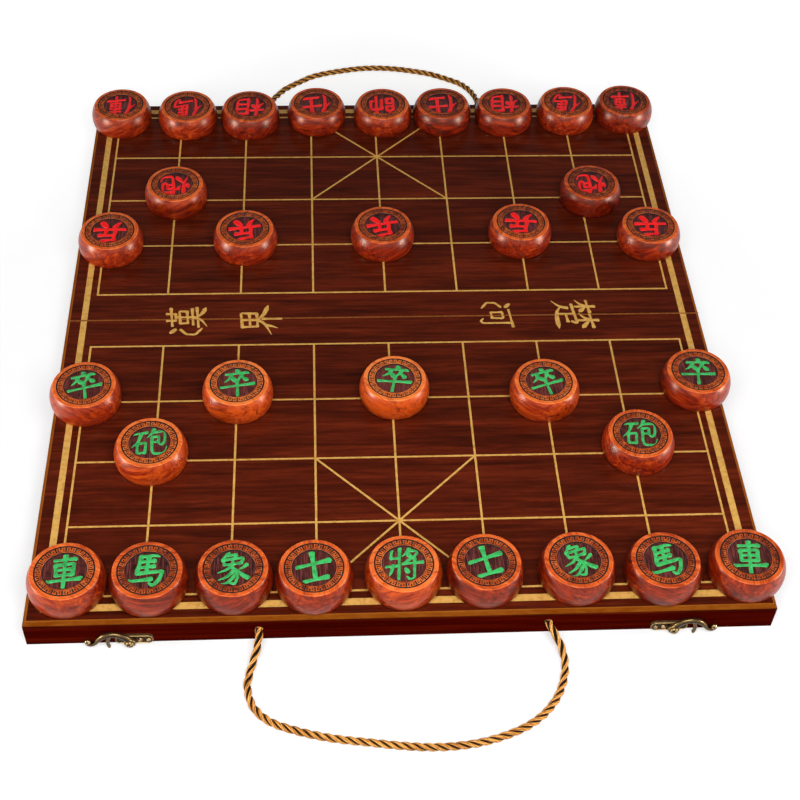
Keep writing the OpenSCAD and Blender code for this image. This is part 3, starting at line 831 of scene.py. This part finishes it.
def written(strokes, size, half_width, height, lift, limit=0.0):
    """Raised strokes of a character: points in millimetres round its middle, and faces.

    Each stroke stands lift higher than the one before, and points past limit are drawn in."""
    points, faces = [], []
    across = len(STROKE_EDGE)
    for number, (kind, pts) in enumerate(strokes):
        line, widths = stroke_line(kind, pts)
        top = height + number * lift
        rows = [(at, heading(line, i), widths[i] * half_width) for i, at in enumerate(line)]
        at, along, w = rows[0]
        rows.insert(0, (at - along * w * TIP_OUT, along, w * FIRST_TIP))
        at, along, w = rows[-1]
        rows.append((at + along * w * TIP_OUT, along, w * LAST_TIP))
        base = len(points)
        for middle, along, w in rows:
            side = Vector((-along.y, along.x))
            for share, z in STROKE_EDGE:
                at = (middle + side * (w * share) - Vector((50, 50))) * (size / 100.0)
                at.y += SLOPE * at.x
                if limit and at.length > limit:
                    at *= (limit + (at.length - limit) * DRAWN_IN) / at.length
                points.append((at.x, at.y, z * top))
        end = base + (len(rows) - 1) * across
        for row in range(base, end, across):
            for a in range(row, row + across - 1):
                faces.append((a, a + across, a + across + 1, a + 1))
        faces.append(tuple(range(base, base + across)))
        faces.append(tuple(range(end + across - 1, end - 1, -1)))
    return points, faces


def add_writing(points, faces, text, text_faces, place, turn):
    """Adds written strokes, turned and set at a place, to points and faces."""
    base = len(points)
    c, s = cos(radians(turn)), sin(radians(turn))
    for x, y, z in text:
        points.append((place[0] + x * c - y * s, place[1] + x * s + y * c, place[2] + z))
    for face in text_faces:
        faces.append(tuple(base + k for k in face))


# The turned pieces

PIECE_H = 22.0
BELLY_R, BELLY_Z = 29.0, 9.5
FOOT_R, FOOT_FLAT_R = 25.75, 24.9
SIDE_ARC, RIM_ROUND = 22.5, 1.0
TOP_FLAT_R = 24.2
RING_OUT, RING_IN, RING_DEEP = 22.15, 21.0, 0.7
BAND_IN, KEY_DEEP = 17.5, 0.4
DISC_R, DISC_DEEP = 16.5, 1.0
SIGN_SIZE, SIGN_R, SIGN_HIGH, SIGN_LIFT = 30.0, 14.6, 0.42, 0.012
TURNS = 120
# One unit of the key pattern, with # for what is sunk, and its columns' and rows' relative widths
KEY = ("#....#....",
       "#.##.#.##.",
       "#.#..#..#.",
       "#.##...##.",
       "#.........")
KEY_COLUMNS = (1.5, 1.0, 0.8, 0.8, 1.0, 1.3, 1.0, 0.8, 0.8, 1.0)
KEY_ROWS = (0.9, 0.8, 0.9, 0.8, 0.7)
KEY_UNITS = 16
SIDE, TOP, GROOVE_AND_SHADE, DISC, SIGN, BAND = range(6)
RED_TONE, GREEN_TONE, MID_TONE = 0.36, 0.42, 0.56
TONE_SPREAD, PALE_EXTRA = 0.14, 0.3
GRAIN_TILT, GRAIN_SHIFT = 0.45, 3
PALE_PIECES = ("green_soldier_3", "green_general", "green_soldier_2")


def piece_outline():
    """The outline from the foot's edge up to the flat top, as radius, height and material."""
    out = []
    for i in range(1, 11):
        a = radians(9 * i)
        out.append((FOOT_R + (BELLY_R - FOOT_R) * sin(a), BELLY_Z * (1 - cos(a)), SIDE))
    inner = SIDE_ARC - RIM_ROUND
    end = asin((PIECE_H - RIM_ROUND - BELLY_Z) / inner)
    for i in range(1, 15):
        a = end * i / 14
        out.append((BELLY_R - SIDE_ARC * (1 - cos(a)), BELLY_Z + SIDE_ARC * sin(a), SIDE))
    for i in range(1, 7):
        a = end + (pi / 2 - end) * i / 6
        out.append((BELLY_R - SIDE_ARC + inner * cos(end) + RIM_ROUND * cos(a),
                    PIECE_H - RIM_ROUND + RIM_ROUND * sin(a), TOP))
    return out


def ring(points, radius, height):
    points.extend((x, y, height) for x, y in circle(radius, TURNS))
    return len(points) - TURNS


def fan(shape, first, height, mark, down=False):
    """Closes a ring with faces to the point in its middle."""
    points, faces, marks = shape
    middle = len(points)
    points.append((0.0, 0.0, height))
    for k in range(TURNS):
        here, there = first + k, first + (k + 1) % TURNS
        faces.append((there, here, middle) if down else (here, there, middle))
    marks.extend([mark] * TURNS)


def lathe(shape, last, rings):
    """Adds rings of radius, height and material, each joined to the one before it."""
    points, faces, marks = shape
    for radius, height, mark in rings:
        now = ring(points, radius, height)
        skin(faces, last, now, TURNS)
        marks.extend([mark] * TURNS)
        last = now
    return last


# From the flat rim inwards: radius, depth below the top, and material
RING_GROOVE = [(TOP_FLAT_R, 0, TOP), (RING_OUT + 0.08, 0, TOP), (RING_OUT, 0.1, GROOVE_AND_SHADE),
               (RING_OUT - 0.1, RING_DEEP, GROOVE_AND_SHADE), (RING_IN + 0.1, RING_DEEP, GROOVE_AND_SHADE),
               (RING_IN, 0.1, GROOVE_AND_SHADE), (RING_IN - 0.08, 0, TOP), (RING_IN - 0.1, 0, TOP)]
# The black on the disc's wall and on the outer rim of its floor is painted shade in the corner of the recess
DISC_STEP = [(BAND_IN - 0.03, 0.3, GROOVE_AND_SHADE), (BAND_IN - 0.37, 0.3, GROOVE_AND_SHADE), (BAND_IN - 0.4, 0, BAND),
             (DISC_R + 0.12, 0, BAND), (DISC_R, 0.12, BAND), (DISC_R - 0.05, DISC_DEEP - 0.15, GROOVE_AND_SHADE),
             (DISC_R - 0.7, DISC_DEEP, GROOVE_AND_SHADE), (DISC_R - 1.0, DISC_DEEP, DISC),
             (11.0, DISC_DEEP, DISC), (5.0, DISC_DEEP, DISC)]


def from_top(steps):
    return [(radius, PIECE_H - depth, mark) for radius, depth, mark in steps]


def meander(shape):
    """The key pattern, sunk into the band between the ring groove and the disc."""
    points, faces, marks = shape
    rows, cols = len(KEY), KEY_UNITS * len(KEY[0])
    out_r = RING_IN - 0.1
    edge_r = [out_r - (out_r - BAND_IN) * sum(KEY_ROWS[:i]) / sum(KEY_ROWS) for i in range(rows + 1)]
    edge_a = [2 * pi / KEY_UNITS * (c // len(KEY_COLUMNS)
                                    + sum(KEY_COLUMNS[:c % len(KEY_COLUMNS)]) / sum(KEY_COLUMNS))
              for c in range(cols + 1)]
    low_z = PIECE_H - KEY_DEEP

    def sunk(r, c):
        return 0 <= r < rows and KEY[r][c % len(KEY[0])] == "#"

    def face(mark, *corners):
        first = len(points)
        for r, c, z in corners:
            points.append((edge_r[r] * cos(edge_a[c]), edge_r[r] * sin(edge_a[c]), z))
        faces.append(tuple(range(first, first + 4)))
        marks.append(mark)

    def wall(r0, c0, r1, c1):
        face(GROOVE_AND_SHADE, (r0, c0, low_z), (r0, c0, PIECE_H), (r1, c1, PIECE_H), (r1, c1, low_z))

    for r in range(rows):
        for c in range(cols):
            low = sunk(r, c)
            z = low_z if low else PIECE_H
            face(GROOVE_AND_SHADE if low else BAND, (r, c, z), (r, c + 1, z), (r + 1, c + 1, z), (r + 1, c, z))
            if low != sunk(r, c + 1):
                wall(r, c + 1, r + 1, c + 1)
            if low != sunk(r - 1, c):
                wall(r, c, r, c + 1)
            if r == rows - 1 and low:
                wall(rows, c, rows, c + 1)


def make_piece(name, strokes, colour, half_width, turn):
    lo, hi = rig.box(name)
    centre = Vector(((lo.x + hi.x) / 2, (lo.y + hi.y) / 2, lo.z)) / MM
    shape = points, faces, marks = [], [], []
    foot = ring(points, FOOT_FLAT_R, 0.0)
    fan(shape, foot, 0.0, SIDE, down=True)
    lathe(shape, foot, piece_outline() + from_top(RING_GROOVE))
    meander(shape)
    disc = lathe(shape, ring(points, BAND_IN, PIECE_H), from_top(DISC_STEP))
    fan(shape, disc, PIECE_H - DISC_DEEP, DISC)
    text, text_faces = written(strokes, SIGN_SIZE, half_width, SIGN_HIGH, SIGN_LIFT, SIGN_R)
    add_writing(points, faces, text, text_faces, (0.0, 0.0, PIECE_H - DISC_DEEP), turn)
    marks.extend([SIGN] * len(text_faces))
    made = make_mesh(name + "_turned", [(Vector(p) + centre) * MM for p in points], faces,
                     [SIDE_WOOD_SHADED, TOP_WOOD, INK_AND_SHADE, DISC_WOOD, colour, BAND_WOOD_SHADED], marks)
    sharp_by_angle(made, 32)
    tilt = Matrix.Rotation(dice.uniform(0, pi), 3, "Z")
    tilt = tilt @ Matrix.Rotation(dice.uniform(-GRAIN_TILT, GRAIN_TILT), 3, "Y")
    shift = Vector([dice.uniform(-GRAIN_SHIFT, GRAIN_SHIFT) for _ in range(3)])
    add_vectors(made, "grain", [tilt @ (Vector(p) * MM) + shift for p in points])
    tone = RED_TONE if name.startswith("red") else GREEN_TONE
    if name.startswith(("green_soldier", "green_cannon")):
        tone = MID_TONE
    tone += dice.uniform(-TONE_SPREAD, TONE_SPREAD)
    if name in PALE_PIECES:
        tone += PALE_EXTRA
    add_numbers(made, "tone", [tone] * len(points))
    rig.ride(made, name)
    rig.replaces(made, name)
    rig.slot(made, "rosewood")


# Each kind's strokes, half their width, and how far each piece of it is turned
PIECES = {
    "green_chariot": (CHARIOT, 5.4, (1, -7)),
    "green_horse": (HORSE, 5.8, (-2, 8)),
    "green_elephant": (ELEPHANT, 4.3, (3, 12)),
    "green_advisor": (ADVISOR, 6.4, (7, 11)),
    "green_general": (GENERAL, 4.3, (-4,)),
    "green_cannon": (STONE_CANNON, 4.3, (3, -6)),
    "green_soldier": (PAWN_GREEN, 4.8, (10, 3, -12, 13, -7)),
    "red_chariot": (RED_CHARIOT, 4.9, (0, -5)),
    "red_horse": (RED_HORSE, 4.9, (4, -8)),
    "red_elephant": (MINISTER, 5.4, (-3, -3)),
    "red_advisor": (SCHOLAR, 6.4, (3, 1)),
    "red_general": (MARSHAL, 5.8, (0,)),
    "red_cannon": (FIRE_CANNON, 5.4, (5, 0)),
    "red_soldier": (PAWN_RED, 6.6, (-7, 2, 5, -12, -8)),
}

for node in sorted(NODES):
    kind, _, number = node.rpartition("_")
    if not number.isdigit():
        kind, number = node, 1
    if kind in PIECES:
        strokes, width, turns = PIECES[kind]
        turn = turns[int(number) - 1]
        if kind.startswith("green"):
            make_piece(node, strokes, GREEN, width, turn)
        else:
            make_piece(node, strokes, RED, width, 180.0 + turn)


# Lines and writing on the board

CELL = 64.0
TOP_Z = 26.0
LINE_W = 1.7
EDGE_COLUMN = 253.4
COLUMNS = [-EDGE_COLUMN, *(CELL * k for k in range(-3, 4)), EDGE_COLUMN]
ROWS = [CELL * (k + 0.5) for k in range(5)]
SIDE_BAND = (259.5, 264.8)
END_BAND = (295.0, 301.0)
FOLD_EDGE = 0.15
# Heights over the panel: lines that cross lie at different ones
COLUMN_HIGH, ROW_HIGH, CROSS_HIGH, SEAM_HIGH = 0.06, 0.07, (0.08, 0.09), 0.05
SEAM_Y, SEAM_W = 0.45, 0.55
RIVER_WIDTH, RIVER_HIGH, RIVER_LIFT = 3.8, 0.07, 0.004
RIVER = ((RIVER_HAN, -173.8, -2.8, 34.5, 90.0), (RIVER_JIE, -110.4, -1.8, 36.0, 90.0),
         (RIVER_HE, 96.6, 1.6, 32.0, -90.0), (RIVER_CHU, 166.8, 1.0, 37.5, -90.0))


def strip(points, faces, a, b, width, height):
    """A flat painted line from a to b on the board."""
    a, b = Vector(a), Vector(b)
    side = Vector((-(b - a).y, (b - a).x)).normalized() * (width / 2)
    base = len(points)
    for z in (TOP_Z - 0.02, TOP_Z + height):
        points.extend((p.x, p.y, z) for p in (a - side, b - side, b + side, a + side))
    faces.append((base + 4, base + 5, base + 6, base + 7))
    skin(faces, base, base + 4, 4)


def lines_mesh(tray, name, points, faces, colour):
    points = [Vector(p) * MM for p in points]
    made = make_mesh(tray + name, points, faces, [colour], smooth=False)
    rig.ride(made, tray + "_tray")
    return made


def board_lines(tray, towards):
    points, faces = [], []

    def line(x0, y0, x1, y1, width, height):
        strip(points, faces, (x0, towards * y0), (x1, towards * y1), width, height)

    for x in COLUMNS:
        line(x, ROWS[0] - LINE_W / 2, x, ROWS[-1] + LINE_W / 2, LINE_W, COLUMN_HIGH)
    for y in ROWS:
        line(-EDGE_COLUMN, y, EDGE_COLUMN, y, LINE_W, ROW_HIGH)
    for x, high in zip((CELL, -CELL), CROSS_HIGH):
        line(-x, ROWS[2], x, ROWS[4], LINE_W, high)
    mid, wide = sum(SIDE_BAND) / 2, SIDE_BAND[1] - SIDE_BAND[0]
    for x in (-mid, mid):
        line(x, 0.8, x, END_BAND[1], wide, COLUMN_HIGH)
    across = sum(END_BAND) / 2
    line(-SIDE_BAND[1], across, SIDE_BAND[1], across, END_BAND[1] - END_BAND[0], ROW_HIGH)
    lines_mesh(tray, "_lines", points, faces, GOLD_LINE)
    points, faces = [], []
    line(-HALF_W + 0.5, SEAM_Y, HALF_W - 0.5, SEAM_Y, SEAM_W, SEAM_HIGH)
    lines_mesh(tray, "_lines_seam", points, faces, SEAM_LINE)


board_lines("front", -1)
board_lines("rear", 1)


def river_writing(tray, towards):
    """The four characters of the river, which the fold cuts through: this tray's half of them."""
    points, faces = [], []
    for strokes, x, y, size, turn in RIVER:
        text, text_faces = written(strokes, size, RIVER_WIDTH, RIVER_HIGH, RIVER_LIFT)
        add_writing(points, faces, text, text_faces, (x, y, TOP_Z - 0.005), turn)
    made = lines_mesh(tray, "_river_writing", points, faces, GOLD_LINE)
    cut = bmesh.new()
    cut.from_mesh(made.data)
    bmesh.ops.bisect_plane(cut, geom=cut.verts[:] + cut.edges[:] + cut.faces[:],
                           plane_co=(0, towards * FOLD_EDGE * MM, 0), plane_no=(0, -towards, 0),
                           clear_outer=True)
    cut.to_mesh(made.data)
    cut.free()


river_writing("front", -1)
river_writing("rear", 1)


# Latches, with the rounded and worn forms of cast fittings

LATCH_X, LATCH_Z = 201.0, 6.2
LEVER_LINE = [(0, 0), (2.6, 5.2), (6.8, 8.8), (12.2, 10), (17.6, 8.6), (22, 4.6), (25.2, 0.3),
              (28.6, -1.5), (31.1, 0.4), (30.4, 2.9)]
LEVER_WIDTHS = [6.0, 5.2, 4.6, 4.6, 4.2, 3.6, 3.0, 2.8, 2.6, 2.4]
LEVER_BACK, LEVER_FRONT = 2.8, 6.0
SIDE_POWER, FRONT_POWER, BACK_POWER = 0.7, 0.85, 0.4
CLAW_R, CLAW_FROM, CLAW_TO = 16.1, 34.0, -19.0
CLAW_STEPS, CLAW_WIDTH, CLAW_TAPER = 14, 2.6, 0.7
CLAW_WIDTHS = [CLAW_WIDTH - CLAW_TAPER * max(0.0, (k - 9) / 5) for k in range(CLAW_STEPS + 1)]
# Turned forms, each as radius and depth out of the wall, from its foot to its middle
HUB = [(4.0, LEVER_BACK), (4.4, LEVER_BACK + 0.4), (4.4, LEVER_FRONT - 0.8),
       (4.15, LEVER_FRONT - 0.25), (3.7, LEVER_FRONT)]
BALL_U, BALL_V = 30.2, 1.9
BALL = [(1.6, LEVER_BACK + 0.1), (2.1, LEVER_BACK + 0.5), (2.3, 4.4), (2.1, LEVER_FRONT - 0.5),
        (1.5, LEVER_FRONT - 0.05), (0.7, LEVER_FRONT + 0.15)]
RIVET = [(1.8, 0.0), (1.8, 6.0), (3.1, 6.1), (3.15, 6.6), (2.9, 7.1), (2.3, 7.55), (2.15, 7.45),
         (1.3, 7.8), (0.5, 7.9)]
PLATE_IN, PLATE_OUT, PLATE_HIGH, PLATE_T = 17.0, 11.0, 9.4, 2.5
LATCH_SCREWS = (-13.4, -7.3)
CATCH_X, CATCH_Z, CATCH_LONG, CATCH_HIGH, CATCH_T = 210.81, 8.5, 20.0, 8.0, 1.5
CATCH_SCREW = 6.6
POST_Z, POST_R, POST_OUT, POST_HEAD = 6.33, 1.5, 6.3, 2.2
POST = [(2.4, 1.0), (2.3, CATCH_T), (1.7, CATCH_T + 0.4), (POST_R, CATCH_T + 0.8),
        (POST_R, POST_OUT - 0.1), (2.0, POST_OUT), (POST_HEAD, POST_OUT + 0.2),
        (2.0, POST_OUT + 0.7), (1.2, POST_OUT + 1.0), (0.4, POST_OUT + 1.1)]
SCREW_R, SCREW_HIGH, SCREW_RINGS, SCREW_SIDES = 1.8, 1.2, 12, 64
CROSS_W, CROSS_L, CROSS_DEEP = 0.17, 0.62, 0.5
END_STEPS = 16
# How strongly standing out turns into the bright edge tone, for wear and painted highlight
WEAR_HIGHLIGHT_GAIN, WEAR_HIGHLIGHT_LOSS = 3.2, 0.25


def on_wall(sign, towards, x0, z0):
    """Turns a fitting's own u, v and depth out of the wall into a place on the long wall."""
    return lambda u, v, out: Vector((sign * (x0 + u), towards * (HALF_D + out), z0 + v))


def bar(points, faces, put, line, widths, back, front, sides=14):
    """A bent bar with a crowned face: flat at the back, rounded towards the front."""
    base = len(points)
    mid, half = (front + back) / 2, (front - back) / 2
    for i, (u, v) in enumerate(line):
        t = heading(line, i)
        for c, d in circle(1.0, sides):
            flat = copysign(abs(c) ** SIDE_POWER, c) * widths[i] / 2
            deep = copysign(abs(d) ** (FRONT_POWER if d > 0 else BACK_POWER), d)
            points.append(put(u - t.y * flat, v + t.x * flat, mid + half * deep))
    tube(faces, base, sides, len(line))


def turned(points, faces, put, u, v, profile, sides=28):
    """A turned form standing out of the wall at u, v."""
    base = len(points)
    for radius, out in profile:
        points.extend(put(u + x, v + y, out) for x, y in circle(radius, sides))
    tube(faces, base, sides, len(profile), open_foot=True)


def screw_head(points, faces, put, u, v, out, turn):
    """A domed head with a cross recess, and its shank's neck below it."""
    base = len(points)
    c, s = cos(turn), sin(turn)
    arm, reach = SCREW_R * CROSS_W, SCREW_R * CROSS_L
    for i in range(SCREW_RINGS + 1):
        share = 1 - i / (SCREW_RINGS + 0.5)
        for x, y in circle(SCREW_R * share, SCREW_SIDES):
            z = SCREW_HIGH * max(0.0, 1 - share ** 2) ** 0.6
            if min(abs(x), abs(y)) < arm and max(abs(x), abs(y)) < reach:
                z -= SCREW_HIGH * CROSS_DEEP
            points.append(put(u + x * c - y * s, v + x * s + y * c, out + z))
    tube(faces, base, SCREW_SIDES, SCREW_RINGS + 1, open_foot=True)
    foot = len(points)
    points.extend(put(u + x, v + y, out - 0.3) for x, y in circle(SCREW_R, SCREW_SIDES))
    skin(faces, foot, base, SCREW_SIDES)


def slot_plate(points, faces, put, u0, u1, high, thick, rim=0.8, sunk=0.5):
    """A plate with round ends, a rounded raised rim and a sunk field."""
    base = len(points)
    steps = ((0.0, 0.0), (0.0, thick - 0.5), (0.15, thick - 0.15), (0.45, thick), (rim, thick),
             (rim + 0.3, thick - sunk))
    for inset, out in steps:
        r = high / 2 - inset
        for middle, first in ((u1 - high / 2, -90), (u0 + high / 2, 90)):
            for k in range(END_STEPS + 1):
                a = radians(first + 180 * k / END_STEPS)
                points.append(put(middle + r * cos(a), r * sin(a), out))
    tube(faces, base, 2 * (END_STEPS + 1), len(steps))


def fitting(name, points, faces, node, body, look=BRONZE):
    """A cast piece. Each point's wear value is how far it stands out from those round it; the metal is lighter there
    as wear and as a painted highlight.
    """
    made = make_mesh(name, [p * MM for p in points], faces, [look])
    shape = bmesh.new()
    shape.from_mesh(made.data)
    bmesh.ops.recalc_face_normals(shape, faces=shape.faces[:])
    wear_and_highlight = []
    for v in shape.verts:
        bend = [v.normal.dot((v.co - e.other_vert(v).co).normalized()) for e in v.link_edges]
        wear_and_highlight.append(min(1.0, max(0.0, WEAR_HIGHLIGHT_GAIN * sum(bend) / max(len(bend), 1) - WEAR_HIGHLIGHT_LOSS)))
    shape.to_mesh(made.data)
    shape.free()
    add_numbers(made, "wear_and_highlight", wear_and_highlight)
    sharp_by_angle(made, 50)
    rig.ride(made, body)
    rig.replaces(made, node)
    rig.slot(made, "bronze")


def lever_arms():
    """The lever's bent arm with its widths, and the line of its claw."""
    line = [p[:2] for p in through([(u, v, 0.0) for u, v in LEVER_LINE], 8)]
    widths = [p[0] for p in through([(w, 0.0) for w in LEVER_WIDTHS], 8)]
    claw = []
    for k in range(CLAW_STEPS + 1):
        a = radians(CLAW_FROM + (CLAW_TO - CLAW_FROM) * k / CLAW_STEPS)
        claw.append((CLAW_R * cos(a), CLAW_R * sin(a)))
    return line, widths, claw


def make_levers():
    line, widths, claw = lever_arms()
    for sign, side in ((-1, "left"), (1, "right")):
        put = on_wall(sign, -1, LATCH_X, LATCH_Z)
        points, faces = [], []
        bar(points, faces, put, line, widths, LEVER_BACK, LEVER_FRONT)
        bar(points, faces, put, claw, CLAW_WIDTHS, LEVER_BACK + 0.2, LEVER_FRONT - 0.3)
        turned(points, faces, put, 0, 0, HUB)
        turned(points, faces, put, BALL_U, BALL_V, BALL)
        fitting("latch_lever_cast_" + side, points, faces, "latch_lever_" + side, "latch_" + side)


def make_latch_plates():
    plates, screws, rivets = ([], []), ([], []), ([], [])
    for sign in (-1, 1):
        put = on_wall(sign, -1, LATCH_X, LATCH_Z)
        slot_plate(*plates, put, -PLATE_IN, PLATE_OUT, PLATE_HIGH, PLATE_T)
        for number, u in enumerate(LATCH_SCREWS):
            screw_head(*screws, put, u, 0, PLATE_T - 0.1, 0.4 + 0.9 * number + 0.3 * sign)
        turned(*rivets, put, 0, 0, RIVET)
    fitting("latch_plates_cast", *plates, "latch_plates", "front_tray")
    fitting("latch_screws_domed", *screws, "latch_screws", "front_tray", SCREW)
    fitting("latch_rivets_turned", *rivets, "latch_rivets", "front_tray")


def make_catches():
    plates, screws = ([], []), ([], [])
    for sign in (-1, 1):
        put = on_wall(sign, 1, CATCH_X, CATCH_Z)
        slot_plate(*plates, put, -CATCH_LONG / 2, CATCH_LONG / 2, CATCH_HIGH, CATCH_T, 0.7, 0.35)
        turned(*plates, put, 0, POST_Z - CATCH_Z, POST)
        for u in (-CATCH_SCREW, CATCH_SCREW):
            screw_head(*screws, put, u, 0, CATCH_T - 0.1, 0.7 + u)
    fitting("catches_cast", *plates, "catches", "rear_tray")
    fitting("catch_screws_domed", *screws, "catch_screws", "rear_tray", SCREW)


make_levers()
make_latch_plates()
make_catches()


# Finishes of the parts that show as they were built

def finish(material, *names):
    for node in names:
        data = NODES[node].data
        data.materials.clear()
        data.materials.append(material)


def soften(width, *names):
    for node in names:
        made = NODES[node]
        weld = made.modifiers.new("weld", "WELD")
        weld.merge_threshold = 1e-6
        bevel = made.modifiers.new("bevel", "BEVEL")
        bevel.width = width * MM
        bevel.segments = 2
        bevel.limit_method = "ANGLE"
        bevel.angle_limit = radians(35)


finish(BOARD, "rear_panel", "front_panel")
finish(WALL_X, "rear_back_wall", "rear_hinge_wall", "front_front_wall", "front_hinge_wall")
finish(WALL_Y, "rear_left_wall", "rear_right_wall", "front_left_wall", "front_right_wall")
finish(FELT, "rear_lining", "front_lining")
finish(BRONZE, "rear_hinge_leaves", "hinge_pins", "rear_hinge_screws", "front_hinge_leaves",
       "front_hinge_screws")
soften(0.25, "rear_panel", "front_panel")
soften(0.12, "rear_hinge_leaves", "front_hinge_leaves")


# Room and light

def world():
    made = bpy.data.worlds.new("room")
    bpy.context.scene.world = made
    made.use_nodes = True
    made.node_tree.nodes["Background"].inputs["Color"].default_value = grey(0.12)


# The paper's own colour, and how strongly it shows to the camera near the board and far off
FLOOR_TONES = grey(0.50), grey(0.52)
FRONT_GLOW, REAR_GLOW, FAR_GLOW = 0.4, 0.66, 0.97
NEAR_R, FAR_R = 0.36, 0.8
FLOOR_SIDES = 64
FLOOR_RINGS = [(1.0, 0.0), (2.5, 0.0), (3.4, 0.08), (3.8, 0.35), (4.0, 0.9), (4.0, 1.6)]


def paper():
    """The pale paper of the floor and of the low curved backdrop round it."""
    s = Shade("backdrop_paper")
    at = s.place()
    grain = s.noise(at, (40, 40, 40), 4, 0.6)
    far = s.step(s.length(at), NEAR_R, FAR_R)
    rear = s.step(s.split(at, 1), -0.3, 0.3)
    near = s.plus(FRONT_GLOW, s.times(rear, REAR_GLOW - FRONT_GLOW))
    glow = s.plus(near, s.times(far, s.less(FAR_GLOW, near)))
    rays = s.new("LightPath").outputs
    shown = s.plus(rays["Is Camera Ray"], s.plus(rays["Is Glossy Ray"], rays["Is Transmission Ray"]))
    tone = s.ramp(grain, [(0.3, FLOOR_TONES[0]), (0.7, FLOOR_TONES[1])])
    return s.set(Base_Color=tone, Roughness=0.9, Emission_Color=grey(1.0),
                 Emission_Strength=s.math("MULTIPLY", shown, glow, clamp=True))


def floor():
    points, faces = [(0.0, 0.0, 0.0)], []
    for radius, height in FLOOR_RINGS:
        points.extend((x, y, height) for x, y in circle(radius, FLOOR_SIDES))
    for k in range(FLOOR_SIDES):
        faces.append((0, 1 + k, 1 + (k + 1) % FLOOR_SIDES))
    for r in range(len(FLOOR_RINGS) - 1):
        skin(faces, 1 + (r + 1) * FLOOR_SIDES, 1 + r * FLOOR_SIDES, FLOOR_SIDES)
    made = make_mesh("floor", points, faces, [paper()])
    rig.stage(made)


# Width and height in metres, and power in watts
SIDE_LAMP = (0.26, 0.2, 9.6)
TOP_LAMP = (0.9, 0.66, 15.4)


def softbox(name, place, aim, wide, high, power):
    data = bpy.data.lights.new(name, "AREA")
    data.shape = "RECTANGLE"
    data.size, data.size_y = wide, high
    data.energy = power
    made = new_object(name, data)
    place, aim = Vector(place), Vector(aim)
    made.location = place
    made.rotation_mode = "QUATERNION"
    made.rotation_quaternion = (aim - place).to_track_quat("-Z", "Y")


world()
floor()
for lamp, x in (("left_box", -1.2), ("right_box", 1.2)):
    softbox(lamp, (x, -0.36, 0.15), (0, 0, 0.02), *SIDE_LAMP)
softbox("top_box", (0.0, -0.8, 0.94), (0, -0.05, 0), *TOP_LAMP)

bpy.context.scene.view_settings.view_transform = "Standard"

end_lo, end_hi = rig.bounds()
json.dump({"start": [list(start_lo), list(start_hi)], "end": [list(end_lo), list(end_hi)]},
          open("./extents.json", "w"))
